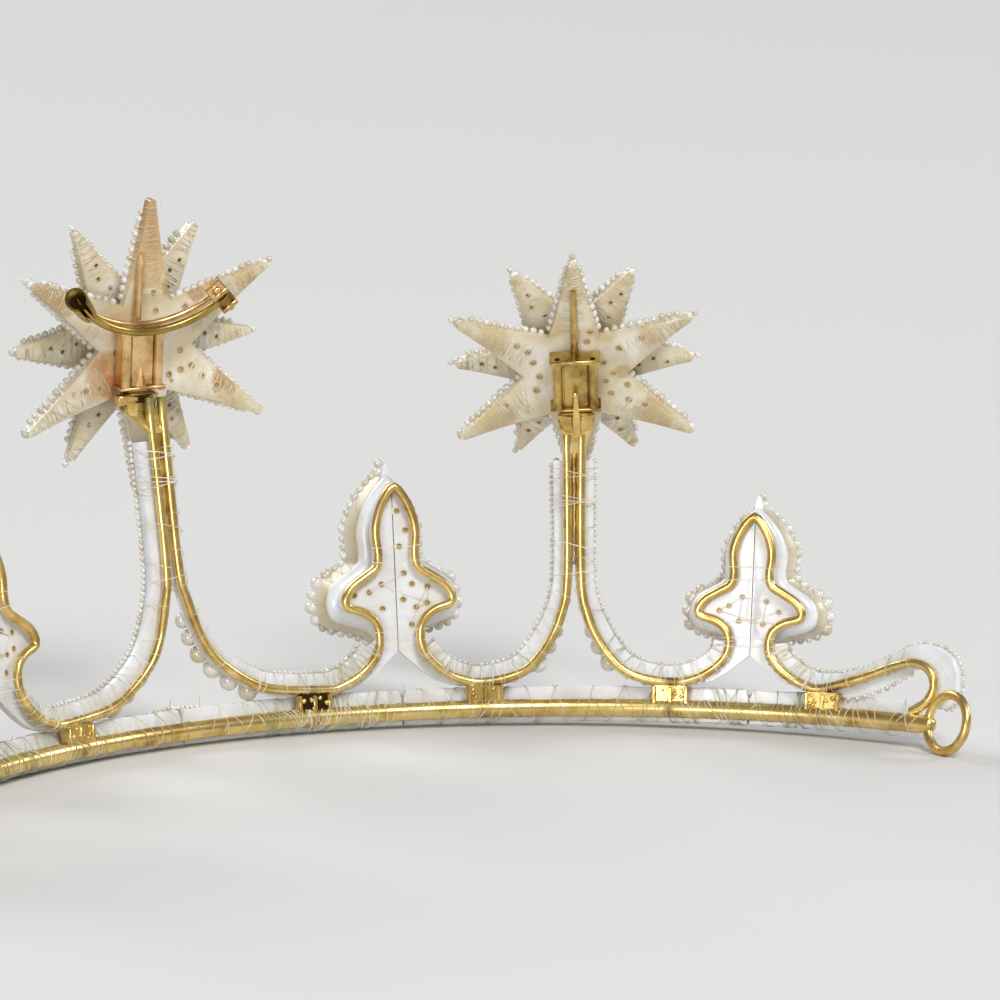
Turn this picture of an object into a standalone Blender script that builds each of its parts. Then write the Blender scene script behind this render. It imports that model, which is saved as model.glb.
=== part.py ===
"""Pearl tiara of soldered gold wire, mother-of-pearl plates and pearls.

A round gold rail bends round the front of the head. Wires soldered to it rise
into three star posts and four fleurs-de-lis, and end in two scrolls. Plates of
mother-of-pearl lie on the front of the wires. Each of the three stars slips
over a tongue on its post, and the centre star carries a brooch pin.

Sizes are in millimetres until a mesh is made, and MM turns them into metres.
A place on the tiara is given on its band: s along the rail from the middle
(plus to the right, seen from the front), h up the band, which leans outward,
and out in front of the wires. The front of the tiara faces -Y.
"""
import bpy
import bmesh
from math import atan2, cos, hypot, pi, radians, sin
from mathutils import Matrix, Vector

MM = 0.001
GAP = 0.3                # play between two pieces that touch
BAND_R = 80.0            # radius of the rail's centreline
BAND_LEAN = radians(10.5)
RAIL_R = 1.05            # radius of the rail
RAIL_END = 92.0          # length of rail on each side of the middle
WIRE_R = 0.55            # radius of the bent wires

POST_GAP = 0.8           # half the distance between the two wires of a post
STAR_S = {"left": -48.7, "centre": 0.0, "right": 48.7}
POST_TOP = {"left": 32.4, "centre": 39.1, "right": 32.4}
WEDGE_FOOT = {"left": 30.2, "centre": 34.9, "right": 30.2}
FLEUR_S = {"inner": 28.1, "outer": 69.1}
FLEUR_TIP = {"inner": 26.7, "outer": 23.1}
FLEUR_BREADTH = {"inner": 1.0, "outer": 0.95}
BLOCK_S = (16.8, 38.0, 60.0, 78.4)
FOOT_H = 3.1             # height of the wires where they cross a block

# How far each post wire stands from the post's axis, by height.
TALL_SWEEP = ((0.8, 20.0), (1.5, 15.3), (3.0, 10.6), (5.1, 7.6), (8.8, 4.9), (12.2, 3.7))
LOW_SWEEP = ((0.8, 16.0), (1.55, 11.0), (3.2, 7.4), (5.5, 4.7), (8.3, 3.5))
# Half the breadth of a fleur's wire outline by height, from foot to tip.
FLEUR_WIRE = (
    (9.3, 3.15), (7.4, 3.5), (5.6, 4.3), (3.9, 5.7), (2.8, 7.2), (2.45, 8.9), (2.9, 10.8),
    (4.3, 12.0), (6.1, 12.6), (6.4, 13.5), (5.6, 14.9), (3.9, 16.1), (2.5, 17.1), (2.15, 18.6),
    (2.35, 21.3), (1.9, 23.6), (1.0, 25.6), (0.0, 26.7))
SCROLL_WIRE = (
    (82.7, 4.7), (86.4, 6.3), (89.2, 7.1), (91.2, 6.4), (92.0, 4.6), (91.2, 2.6), (89.3, 1.3))

GOLD = {"color": (0.83, 0.6, 0.22, 1.0), "metallic": 1.0, "roughness": 0.25}
NACRE = {"color": (0.87, 0.86, 0.82, 1.0), "metallic": 0.0, "roughness": 0.3}
PEARL = {"color": (0.85, 0.83, 0.78, 1.0), "metallic": 0.0, "roughness": 0.2}


def clear_scene():
    for old in list(bpy.data.objects):
        bpy.data.objects.remove(old)


def make_material(name, look):
    material = bpy.data.materials.new(name)
    material.use_nodes = True
    shader = material.node_tree.nodes["Principled BSDF"]
    shader.inputs["Base Color"].default_value = look["color"]
    shader.inputs["Metallic"].default_value = look["metallic"]
    shader.inputs["Roughness"].default_value = look["roughness"]
    return material


def make_mesh(name, shape):
    """A mesh in metres from (points in mm, faces), with its faces pointing out."""
    points, faces = shape
    mesh = bpy.data.meshes.new(name)
    mesh.from_pydata([Vector(p) * MM for p in points], [], faces)
    work = bmesh.new()
    work.from_mesh(mesh)
    bmesh.ops.recalc_face_normals(work, faces=work.faces)
    work.to_mesh(mesh)
    work.free()
    return mesh


def make_node(name, mesh, material, parent):
    mesh.materials.clear()
    mesh.materials.append(material)
    mesh.shade_smooth()
    mesh.set_sharp_from_angle(angle=radians(40))
    node = bpy.data.objects.new(name, mesh)
    bpy.context.scene.collection.objects.link(node)
    node.parent = parent
    return node


def make_empty(name, matrix, parent=None):
    """An empty that carries pieces; its place is given in millimetres."""
    empty = bpy.data.objects.new(name, None)
    bpy.context.scene.collection.objects.link(empty)
    matrix = matrix.copy()
    matrix.translation = matrix.translation * MM
    empty.parent = parent
    empty.matrix_local = matrix
    return empty


def solder(name, shapes, cuts=()):
    """One mesh from shapes joined where they meet, less the cuts."""
    helpers = []
    for shape in list(shapes) + list(cuts):
        helper = bpy.data.objects.new("helper", make_mesh("helper", shape))
        bpy.context.scene.collection.objects.link(helper)
        helpers.append(helper)
    base = helpers[0]
    for number, helper in enumerate(helpers[1:], start=1):
        joint = base.modifiers.new("joint", "BOOLEAN")
        joint.object = helper
        joint.operation = "UNION" if number < len(shapes) else "DIFFERENCE"
        joint.solver = "EXACT"
    bpy.context.view_layer.update()
    graph = bpy.context.evaluated_depsgraph_get()
    mesh = bpy.data.meshes.new_from_object(base.evaluated_get(graph))
    mesh.name = name
    for helper in helpers:
        bpy.data.objects.remove(helper)
    return mesh


def band_axes(s):
    """Directions at s: along the rail, up the band and out of its front."""
    angle = s / BAND_R
    along = Vector((cos(angle), sin(angle), 0.0))
    radial = Vector((sin(angle), -cos(angle), 0.0))
    level = Vector((0.0, 0.0, 1.0))
    up = radial * sin(BAND_LEAN) + level * cos(BAND_LEAN)
    out = radial * cos(BAND_LEAN) - level * sin(BAND_LEAN)
    return along, up, out


def on_band(s, h, out=0.0):
    angle = s / BAND_R
    foot = Vector((sin(angle), -cos(angle), 0.0)) * BAND_R
    _, up, front = band_axes(s)
    return foot + up * h + front * out


def smooth(points, steps=10):
    """Points of a Catmull-Rom curve through flat points."""
    ends = [points[0]] + list(points) + [points[-1]]
    curve = []
    for before, here, there, after in zip(ends, ends[1:], ends[2:], ends[3:]):
        for step in range(steps):
            t = step / steps
            curve.append(tuple(
                0.5 * (2 * b + (c - a) * t + (2 * a - 5 * b + 4 * c - d) * t * t
                       + (3 * b - a - 3 * c + d) * t ** 3)
                for a, b, c, d in zip(before, here, there, after)))
    curve.append(tuple(points[-1]))
    return curve


def thin(curve, turn=radians(17.0), reach=7.0):
    """The curve's points, kept only where it has turned or run far enough."""
    kept = [curve[0]]
    heading = None
    for here, there in zip(curve[1:], curve[2:]):
        angle = atan2(there[1] - here[1], there[0] - here[0])
        if heading is None:
            heading = angle
        swing = abs((angle - heading + pi) % (2 * pi) - pi)
        if swing > turn or hypot(here[0] - kept[-1][0], here[1] - kept[-1][1]) > reach:
            kept.append(here)
            heading = angle
    kept.append(curve[-1])
    return kept


def mirror(points):
    return [(-s, h) for s, h in points]


def tube(centres, fronts, radii, sides):
    """A round bar through 3-D centres, with one front direction at each."""
    points, faces = [], []
    for number, centre in enumerate(centres):
        before = centres[max(number - 1, 0)]
        after = centres[min(number + 1, len(centres) - 1)]
        side = (after - before).normalized().cross(fronts[number]).normalized()
        for turn in range(sides):
            angle = 2 * pi * (turn + 0.5) / sides
            spoke = fronts[number] * cos(angle) + side * sin(angle)
            points.append(centre + spoke * radii[number])
    for ring in range(len(centres) - 1):
        for turn in range(sides):
            here, there = ring * sides + turn, ring * sides + (turn + 1) % sides
            faces.append((here, there, there + sides, here + sides))
    faces.append(tuple(range(sides)))
    faces.append(tuple(range(len(points) - sides, len(points))))
    return points, faces


def band_tube(curve, radius, sides, out=0.0):
    centres = [on_band(s, h, out) for s, h in curve]
    fronts = [band_axes(s)[2] for s, _ in curve]
    return tube(centres, fronts, [radius] * len(curve), sides)


def loft(rings):
    """A closed solid through rings of equally many 3-D points."""
    count = len(rings[0])
    points = [point for ring in rings for point in ring]
    faces = []
    for ring in range(len(rings) - 1):
        for turn in range(count):
            here, there = ring * count + turn, ring * count + (turn + 1) % count
            faces.append((here, there, there + count, here + count))
    faces.append(tuple(range(count)))
    faces.append(tuple(range(len(points) - count, len(points))))
    return points, faces


def box(low, high):
    """A block between two corners."""
    corners = [[(x, y, z) for x, y in
                ((low[0], low[1]), (high[0], low[1]), (high[0], high[1]), (low[0], high[1]))]
               for z in (low[2], high[2])]
    return loft(corners)


def rod(centre, axis, radius, low, high, sides):
    """A round bar along an axis, from low to high of the centre."""
    axis = Vector(axis).normalized()
    front = axis.orthogonal().normalized()
    ends = [Vector(centre) + axis * low, Vector(centre) + axis * high]
    return tube(ends, [front, front], [radius, radius], sides)


def ball(centre, radius, sides, rows):
    points = [Vector(centre) + Vector((0.0, 0.0, -radius))]
    for row in range(1, rows):
        lift = pi * row / rows
        for turn in range(sides):
            angle = 2 * pi * turn / sides
            points.append(Vector(centre) + radius * Vector(
                (sin(lift) * cos(angle), sin(lift) * sin(angle), -cos(lift))))
    points.append(Vector(centre) + Vector((0.0, 0.0, radius)))
    faces = []
    for turn in range(sides):
        after = (turn + 1) % sides
        faces.append((0, 1 + after, 1 + turn))
        last = 1 + (rows - 2) * sides
        faces.append((last + turn, last + after, len(points) - 1))
        for row in range(rows - 2):
            low = 1 + row * sides
            faces.append((low + turn, low + after, low + after + sides, low + turn + sides))
    return points, faces


# The wires and the rail: gold wire bent to shape and soldered into one frame.

END_RING_R = 3.35        # middle radius of the ring at each end of the rail
END_RING_WIRE = 0.5
END_RING_TURN = radians(25.0)
END_RING_TILT = radians(15.0)
END_RING_LIFT = 0.7
BLOCK_HALF = 2.15
BLOCK_DEPTH = 0.85


def fleur_row(which, half, h):
    """A fleur's row stretched to its own breadth and tip height."""
    stretch = (FLEUR_TIP[which] - FOOT_H) / (FLEUR_TIP["inner"] - FOOT_H)
    return half * FLEUR_BREADTH[which], FOOT_H + (h - FOOT_H) * stretch


def fleur_wire(which):
    axis = FLEUR_S[which]
    rows = [fleur_row(which, half, h) for half, h in FLEUR_WIRE]
    rising = [(axis - half, h) for half, h in rows]
    falling = [(axis + half, h) for half, h in reversed(rows[:-1])]
    return rising, falling


def post_wire(star, side, sweep, top):
    return [(star + side * half, h) for half, h in ((POST_GAP, top),) + sweep]


def inner_wire():
    """Centre post, inner fleur and the near wire of the outer post, on one side."""
    rising, falling = fleur_wire("inner")
    start = post_wire(0.0, 1, TALL_SWEEP, POST_TOP["centre"])
    finish = post_wire(STAR_S["right"], -1, LOW_SWEEP, POST_TOP["right"])
    return start, rising, falling, list(reversed(finish))


def outer_wire():
    rising, falling = fleur_wire("outer")
    start = post_wire(STAR_S["right"], 1, LOW_SWEEP, POST_TOP["right"])
    return start, rising, falling, list(SCROLL_WIRE)


def end_ring(side):
    """The ring at the rail's end, its plane turned in towards the head."""
    along, _, _ = band_axes(side * RAIL_END)
    level = Vector((0.0, 0.0, 1.0))
    reach = Matrix.Rotation(side * END_RING_TURN, 3, "Z") @ (along * side)
    outward = reach.cross(level) * side
    upright = level * cos(END_RING_TILT) + outward * sin(END_RING_TILT)
    axis = reach.cross(upright).normalized()
    middle = on_band(side * RAIL_END, 0.0) + reach * (END_RING_R - 0.3) + level * END_RING_LIFT
    points, faces = [], []
    turns, sides = 20, 7
    for turn in range(turns):
        angle = 2 * pi * turn / turns
        spoke = reach * cos(angle) + upright * sin(angle)
        for step in range(sides):
            bend = 2 * pi * step / sides
            points.append(middle + spoke * (END_RING_R + END_RING_WIRE * cos(bend))
                          + axis * END_RING_WIRE * sin(bend))
            here, there = turn * sides + step, turn * sides + (step + 1) % sides
            ahead = ((turn + 1) % turns) * sides
            faces.append((here, there, ahead + (step + 1) % sides, ahead + step))
    return points, faces


def solder_block(s):
    """The little gold box that lifts the wires off the rail."""
    rings = []
    for h in (0.4, FOOT_H - 0.2):
        rings.append([on_band(s + along, h, out) for along, out in (
            (-BLOCK_HALF, -BLOCK_DEPTH), (BLOCK_HALF, -BLOCK_DEPTH),
            (BLOCK_HALF, BLOCK_DEPTH), (-BLOCK_HALF, BLOCK_DEPTH))])
    return loft(rings)


# The stars. A star's own axes: x right seen from the front, y to the head, z up.

STAR_LOOK = {
    # how the star's plane stands: turn about z, lean back, roll; then its place
    "left": {"turn": radians(-36.5), "lean": radians(24.6), "roll": radians(2.4),
             "radius": 85.4, "height": 39.3, "long": 15.6, "short": 13.7},
    "centre": {"turn": radians(-6.6), "lean": radians(5.9), "roll": radians(1.3),
               "radius": 89.4, "height": 44.1, "long": 17.6, "short": 15.3},
    "right": {"turn": radians(36.5), "lean": radians(24.6), "roll": radians(-2.4),
              "radius": 85.4, "height": 39.3, "long": 15.6, "short": 13.7},
}
RAYS = 6
PLATE_HALF = 0.5         # half the thickness of a star's plate
STAR_GAP = 3.2           # the front star stands this far before the plate
TIP_BACK = 0.5           # the plate's tips bend back this far
RIB_TOP = 11.2           # the rib on the back runs up to here
RIB_ROWS = ((1.5, 0.45, 1.2), (7.0, 0.4, 1.0), (RIB_TOP, 0.3, 0.5))
NOTCH_R = 6.1
TIP_LONG = 0.65          # half breadth of a ray's tip
TIP_SHORT = 1.0
HUB_R = 3.4
CENTRE_PEARL_R = 2.4

# Where the middle of a socket sits on its star: to the side, and up.
SOCKET_SEAT = {"left": (0.0, 1.4), "centre": (1.6, 0.5), "right": (0.0, 1.4)}
SOCKET_HALF = 2.7        # half breadth of the socket's box
SOCKET_LOW = -4.4
SOCKET_TOP = 1.7
SOCKET_DEPTH = 2.0
LIP = 0.6                # thickness of the plates that close the box
LIP_HALF = 3.0
CHANNEL_HALF = 1.55      # the hollow that takes the tongue
CHANNEL_NEAR = 0.4
CHANNEL_FAR = 1.5
PANEL_HALF = 1.4         # the sunk panel on the box's back
PANEL_SUNK = 0.2
TONGUE_HALF = 1.25
TONGUE_THICK = 0.5
TONGUE_TOP = 0.6
FINGER_HALF = 0.4
FINGER_TOP = -2.0
SOCKET_Y = PLATE_HALF + GAP
BOX_BACK = SOCKET_Y + SOCKET_DEPTH
LIP_BACK = BOX_BACK + 0.5
TUBE_X = 2.1
TUBE_R = 0.62
TUBE_HOLE = 0.4
TONGUE_Y = SOCKET_Y + (CHANNEL_NEAR + CHANNEL_FAR) / 2


def star_matrix(which):
    look = STAR_LOOK[which]
    angle = STAR_S[which] / BAND_R
    place = Vector((sin(angle) * look["radius"], -cos(angle) * look["radius"], look["height"]))
    stand = (Matrix.Rotation(look["turn"], 4, "Z") @ Matrix.Rotation(-look["lean"], 4, "X")
             @ Matrix.Rotation(look["roll"], 4, "Y"))
    return Matrix.Translation(place) @ stand


def socket_seat(which):
    """The place of a socket in its star's axes."""
    side, up = SOCKET_SEAT[which]
    return Vector((side, 0.0, up))


def star_slab(tip_r, tip_half, phase, back, front, ridge, set_back):
    """A flat star with six rays. Its front has a ridge down each ray."""
    points, faces = [], []
    outline = []
    for ray in range(RAYS):
        angle = phase + 2 * pi * ray / RAYS
        spoke = Vector((cos(angle), 0.0, sin(angle)))
        side = Vector((-sin(angle), 0.0, cos(angle)))
        notch_angle = angle - pi / RAYS
        notch = Vector((cos(notch_angle), 0.0, sin(notch_angle))) * NOTCH_R
        tip = spoke * tip_r + Vector((0.0, set_back, 0.0))
        outline += [notch, tip - side * tip_half, tip + spoke * tip_half * 0.6,
                    tip + side * tip_half]
    count = len(outline)
    for y in (back, front):
        points += [point + Vector((0.0, y, 0.0)) for point in outline]
    for turn in range(count):
        here, there = turn, (turn + 1) % count
        faces.append((here, there, there + count, here + count))
    points += [Vector((0.0, back, 0.0)), Vector((0.0, front - ridge, 0.0))]
    for ray in range(RAYS):
        first = 4 * ray
        for middle, shift in ((2 * count, 0), (2 * count + 1, count)):
            faces.append((middle, first + shift, first + 1 + shift, first + 2 + shift))
            faces.append((middle, first + 2 + shift, first + 3 + shift,
                          (first + 4) % count + shift))
    return points, faces


def star_plate_mesh(which):
    return make_mesh("star_plate", star_slab(
        STAR_LOOK[which]["long"], TIP_LONG, pi / 2, PLATE_HALF, -PLATE_HALF, 0.0, TIP_BACK))


def star_front_mesh(which):
    back = PLATE_HALF - STAR_GAP
    slab = star_slab(STAR_LOOK[which]["short"], TIP_SHORT, 0.0, back, back - 1.0, 0.8, 0.0)
    hub = rod((0.0, 0.0, 0.0), (0.0, 1.0, 0.0), HUB_R, back - 0.3, -PLATE_HALF - GAP, 16)
    return solder("star_front", (slab, hub))


def centre_pearl_y():
    front_apex = PLATE_HALF - STAR_GAP - 1.8
    return front_apex - GAP - CENTRE_PEARL_R


def socket_mesh():
    """The gold box behind a star, open below for the tongue, with its rib."""
    body = box((-SOCKET_HALF, SOCKET_Y, SOCKET_LOW), (SOCKET_HALF, BOX_BACK, SOCKET_TOP))
    top = box((-LIP_HALF, SOCKET_Y, SOCKET_TOP - 0.05), (LIP_HALF, LIP_BACK, SOCKET_TOP + LIP))
    low = box((-LIP_HALF, SOCKET_Y, SOCKET_LOW - LIP), (LIP_HALF, LIP_BACK, SOCKET_LOW + 0.05))
    tubes = [rod((x, BOX_BACK - 0.05, 0.0), (0.0, 0.0, 1.0), TUBE_R,
                 SOCKET_LOW - 0.1, SOCKET_TOP + 0.1, 10) for x in (-TUBE_X, TUBE_X)]
    rib = loft([[(x, SOCKET_Y + TIP_BACK * z / RIB_TOP + y, z) for x, y in
                 ((-half, 0.0), (half, 0.0), (half * 0.7, deep), (-half * 0.7, deep))]
                for z, half, deep in RIB_ROWS])
    channel = box((-CHANNEL_HALF, SOCKET_Y + CHANNEL_NEAR, SOCKET_LOW - 1.0),
                  (CHANNEL_HALF, SOCKET_Y + CHANNEL_FAR, TONGUE_TOP + 0.5))
    panel = box((-PANEL_HALF, BOX_BACK - PANEL_SUNK, SOCKET_LOW + 0.2),
                (PANEL_HALF, BOX_BACK + 0.2, SOCKET_TOP - 0.2))
    holes = [rod((x, BOX_BACK - 0.05, 0.0), (0.0, 0.0, 1.0), TUBE_HOLE,
                 SOCKET_TOP - 1.6, SOCKET_TOP + 1.0, 8) for x in (-TUBE_X, TUBE_X)]
    return solder("star_socket", [body, top, low, rib] + tubes, [channel, panel] + holes)


def bracket(which):
    """The wedge on a post, with the tongue and the spring finger of its star."""
    place = star_matrix(which) @ Matrix.Translation(socket_seat(which))
    s = STAR_S[which]

    def in_star(x, y, z):
        return place @ Vector((x, y, z))

    def ring(half, low_y, high_y, z):
        return [in_star(x, y, z) for x, y in
                ((-half, low_y), (half, low_y), (half, high_y), (-half, high_y))]

    foot = [on_band(s + along, WEDGE_FOOT[which], out) for along, out in
            ((-1.15, 0.45), (1.15, 0.45), (1.15, -0.45), (-1.15, -0.45))]
    shoulder = SOCKET_LOW - LIP - GAP
    wedge = loft([foot, ring(2.1, SOCKET_Y + 0.2, BOX_BACK - 0.3, shoulder - 1.4)])
    neck = loft([ring(1.9, SOCKET_Y + 0.3, BOX_BACK - 0.1, shoulder - 2.2),
                 ring(2.1, SOCKET_Y + 0.3, BOX_BACK - 0.1, shoulder)])
    tongue = loft([ring(TONGUE_HALF, TONGUE_Y - TONGUE_THICK / 2, TONGUE_Y + TONGUE_THICK / 2, z)
                   for z in (shoulder - 1.15, TONGUE_TOP - GAP)])
    finger_y = LIP_BACK + GAP
    finger = loft([ring(FINGER_HALF + 0.07, BOX_BACK - 1.1, finger_y + 0.43, shoulder - 2.5),
                   ring(FINGER_HALF, finger_y, finger_y + 0.45, shoulder - 0.3),
                   ring(FINGER_HALF * 0.7, finger_y, finger_y + 0.3, FINGER_TOP)])
    return [neck, tongue, wedge, finger]


def frame_mesh():
    steps = 34
    rail = [(RAIL_END * (2 * step / steps - 1), 0.0) for step in range(steps + 1)]
    shapes = [band_tube(rail, RAIL_R, 12)]
    for parts in (inner_wire(), outer_wire()):
        curve = thin(smooth([point for part in parts for point in part]))
        shapes.append(band_tube(curve, WIRE_R, 8))
        shapes.append(band_tube(mirror(curve), WIRE_R, 8))
    for side in (-1, 1):
        shapes += [solder_block(side * s) for s in BLOCK_S]
        shapes.append(end_ring(side))
    for which in STAR_S:
        shapes += bracket(which)
    return solder("gold_frame", shapes)


# Mother-of-pearl along the rail and round the bays, cut from shell and sewn on.

STRIP_LOW = -1.6
STRIP_TOP = 2.55
STRIP_THICK = 1.1
STRIP_SPLITS = (0.0, 28.4, 69.2, 90.0)
BAY_INNER = 2.0          # the strip reaches this far into the bay from the wire
BAY_OUTER = 0.5
BAY_BACK = WIRE_R + GAP
BAY_FRONT = 2.4
BAY_TOP_DROP = 0.8       # the strips stop this far below a post's wedge
WAIST_H = 8.4
HEAD = ((88.0, 2.0), (90.0, 2.5), (91.6, 3.0), (92.0, 2.6))


def rail_strip(start, end):
    steps = max(2, round(abs(end - start) / 7.0))
    back = RAIL_R + GAP
    rings = []
    for step in range(steps + 1):
        s = start + (end - start) * step / steps
        rings.append([on_band(s, h, out) for h, out in (
            (STRIP_LOW, back), (STRIP_TOP, back),
            (STRIP_TOP, back + STRIP_THICK), (STRIP_LOW, back + STRIP_THICK))])
    return loft(rings)


def rail_strip_spans():
    """Start and end of each strip on one side, with a thin saw cut between."""
    cut = GAP / 2
    return [(start + cut, end - cut) for start, end in zip(STRIP_SPLITS, STRIP_SPLITS[1:])]


def bay_curves():
    """The stretch of wire behind each bay strip, from the middle outward."""
    def down_to(points, low):
        return [point for point in points if point[1] <= low]

    start, rising, falling, finish = inner_wire()
    top = WEDGE_FOOT["centre"] - BAY_TOP_DROP
    first = [(start[0][0], top)] + start[1:] + down_to(rising[:6], WAIST_H)
    low_top = WEDGE_FOOT["right"] - BAY_TOP_DROP
    second = down_to(falling[-6:], WAIST_H) + finish[:-1] + [(finish[-1][0], low_top)]
    start, rising, falling, finish = outer_wire()
    third = [(start[0][0], low_top)] + start[1:] + down_to(rising[:6], WAIST_H)
    fourth = down_to(falling[-6:], WAIST_H) + finish[:-2]
    return [thin(smooth(points), radians(20.0), 8.0) for points in (first, second, third, fourth)]


def bay_strip(curve, side):
    """A channel of shell that follows the wire on the bay's side of it."""
    rings = []
    for number, (s, h) in enumerate(curve):
        before = curve[max(number - 1, 0)]
        after = curve[min(number + 1, len(curve) - 1)]
        length = hypot(after[0] - before[0], after[1] - before[1])
        inward = (-(after[1] - before[1]) / length, (after[0] - before[0]) / length)
        reach = BAY_INNER
        for (low_s, low), (high_s, high) in zip(HEAD, HEAD[1:]):
            if low_s <= s <= high_s:
                reach = low + (high - low) * (s - low_s) / (high_s - low_s)
        middle = (BAY_OUTER + reach) / 2
        half = (reach - BAY_OUTER) / 2
        rings.append([on_band(side * (s + inward[0] * across), h + inward[1] * across, out)
                      for across, out in (
                          (BAY_OUTER, BAY_BACK), (reach, BAY_BACK), (reach, BAY_FRONT - 0.7),
                          (middle + half * 0.5, BAY_FRONT), (middle - half * 0.5, BAY_FRONT),
                          (BAY_OUTER, BAY_FRONT - 0.7))])
    return loft(rings)


# The fleurs: a flat plate against the wires and a carved relief before it.

# Half breadth and height of the plate, then of the relief's edge, row by row.
FLEUR_ROWS = (
    (1.9, 9.1, 1.8, 8.2), (2.8, 10.7, 3.6, 9.4), (4.2, 11.7, 5.6, 9.9), (6.2, 12.3, 7.5, 10.9),
    (6.6, 13.5, 8.2, 13.2), (5.8, 15.0, 7.5, 15.6), (4.1, 16.3, 5.6, 17.1),
    (2.7, 17.4, 4.3, 18.1), (2.4, 19.0, 4.1, 19.6), (2.6, 21.3, 4.2, 21.8),
    (2.1, 23.7, 3.4, 24.4), (1.2, 25.7, 1.9, 26.7), (0.25, 27.2, 0.3, 28.4))
FLEUR_NOTCH = 10.4       # the plate is slit up to here from below
PLATE_BACK = WIRE_R + GAP
FLEUR_PLATE_THICK = 0.9
RELIEF_EDGE = 5.8
RELIEF_CROWN = 1.3


def fleur_solid(which, side, stages, crown):
    """A solid through leaf outlines; each stage is (share of the edge row, out)."""
    axis = FLEUR_S[which]
    points, faces = [], []
    rows = len(FLEUR_ROWS)
    for share, out in stages:
        for half_sign in (1, -1):
            for plate_half, plate_h, edge_half, edge_h in FLEUR_ROWS:
                half, h = fleur_row(which, plate_half + (edge_half - plate_half) * share,
                                    plate_h + (edge_h - plate_h) * share)
                points.append(on_band(side * (axis + half_sign * half), h, out))
    ring = 2 * rows
    around = list(range(rows)) + list(range(2 * rows - 1, rows - 1, -1))
    for stage in range(len(stages) - 1):
        low = stage * ring
        for here, there in zip(around, around[1:] + around[:1]):
            faces.append((low + here, low + there, low + ring + there, low + ring + here))
    for stage, rise in ((0, 0.0), (len(stages) - 1, crown)):
        share, out = stages[stage]
        spine = len(points)
        for number, (plate_half, plate_h, edge_half, edge_h) in enumerate(FLEUR_ROWS):
            _, h = fleur_row(which, 0.0, plate_h + (edge_h - plate_h) * share)
            _, notch = fleur_row(which, 0.0, FLEUR_NOTCH)
            ease = sin(pi * number / (rows - 1))
            height = max(h, notch) if number == 0 else h
            points.append(on_band(side * axis, height, out + rise * ease))
        low = stage * ring
        for row in range(rows - 1):
            for start in (low, low + rows):
                faces.append((start + row, start + row + 1, spine + row + 1, spine + row))
        faces.append((low, spine, low + rows))
        faces.append((low + rows - 1, spine + rows - 1, low + 2 * rows - 1))
    return points, faces


def fleur_plate(which, side):
    return fleur_solid(which, side, (
        (0.0, PLATE_BACK), (0.0, PLATE_BACK + FLEUR_PLATE_THICK)), 0.0)


def fleur_front(which, side):
    back = PLATE_BACK + FLEUR_PLATE_THICK + GAP
    return fleur_solid(which, side, (
        (0.0, back), (0.35, back + 0.9), (0.75, back + 2.2), (1.0, RELIEF_EDGE),
        (0.9, RELIEF_EDGE + 0.6)), RELIEF_CROWN)


# The larger pearls strung under each post where its wires spread.

STRING_OUT = 2.3
STRING_LOOK = {
    # how many pearls, height of the wire beside the first, radius of first and last
    "left": (3, 10.0, 0.85, 1.1), "centre": (5, 13.0, 0.95, 1.2), "right": (3, 10.0, 0.85, 1.1)}
STRING_RINGS = ((-0.92, 0.4), (-0.5, 0.87), (0.5, 0.87), (0.92, 0.4))


def point_along(curve, reach):
    """The point at this length along a flat curve, and its direction."""
    for before, here in zip(curve, curve[1:]):
        length = hypot(here[0] - before[0], here[1] - before[1])
        if length and reach <= length:
            ahead = ((here[0] - before[0]) / length, (here[1] - before[1]) / length)
            return (before[0] + ahead[0] * reach, before[1] + ahead[1] * reach), ahead
        reach -= length
    return curve[-1], ahead


def pearl_string(which, side):
    """Touching pearls that grow downward along the outer side of a post's sweep."""
    count, start_h, first_r, last_r = STRING_LOOK[which]
    sweep = TALL_SWEEP if which == "centre" else LOW_SWEEP
    rows = [(half, h) for half, h in ((POST_GAP, POST_TOP[which]),) + sweep]
    curve = [point for point in smooth(rows, 20) if point[1] <= start_h]
    places, radii = [], []
    run = 0.0
    for number in range(count):
        radius = first_r + (last_r - first_r) * number / (count - 1)
        for offset, swell in STRING_RINGS:
            (half, h), ahead = point_along(curve, run + radius * (1.0 + offset))
            across = BAY_OUTER - GAP - radius
            places.append((STAR_S[which] + side * (half - ahead[1] * across),
                           h + ahead[0] * across))
            radii.append(radius * swell)
        run += 2 * radius
    centres = [on_band(s, h, STRING_OUT) for s, h in places]
    fronts = [band_axes(s)[2] for s, _ in places]
    return tube(centres, fronts, radii, 10)


# The brooch fitting on the centre star: a bowed bar and the pin that shuts on it.

BOW_HALF = 10.6          # half the chord of the bow
BOW_SAG = 5.6
BOW_TILT = radians(70.0)
BOW_Y = BOX_BACK - 0.05
BOW_Z = SOCKET_TOP + LIP + 0.65
BAR_R = 0.42
PIN_R = 0.48
PIN_OFF = 1.5            # the pin stands this far off the bar
CATCH_LONG = 4.4
HINGE_X = -9.0           # the hinge is at the star's left end, seen from the front
HINGE_LONG = 2.2
HINGE_HALF = 1.55
HINGE_SLOT = 0.9         # half the room between the hinge's cheeks
CATCH_X = 9.6
CATCH_R = 1.2
CATCH_WALL = 0.35
CATCH_OPEN = radians(36.0)    # half the angle of the slot along the catch tube
CATCH_STEPS = 9


def bow_axes():
    """The bow's direction and the side that the pin is on, in the star's axes."""
    bow = Vector((0.0, cos(BOW_TILT), sin(BOW_TILT)))
    away = Vector((0.0, sin(BOW_TILT), -cos(BOW_TILT)))
    return bow, away


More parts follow.
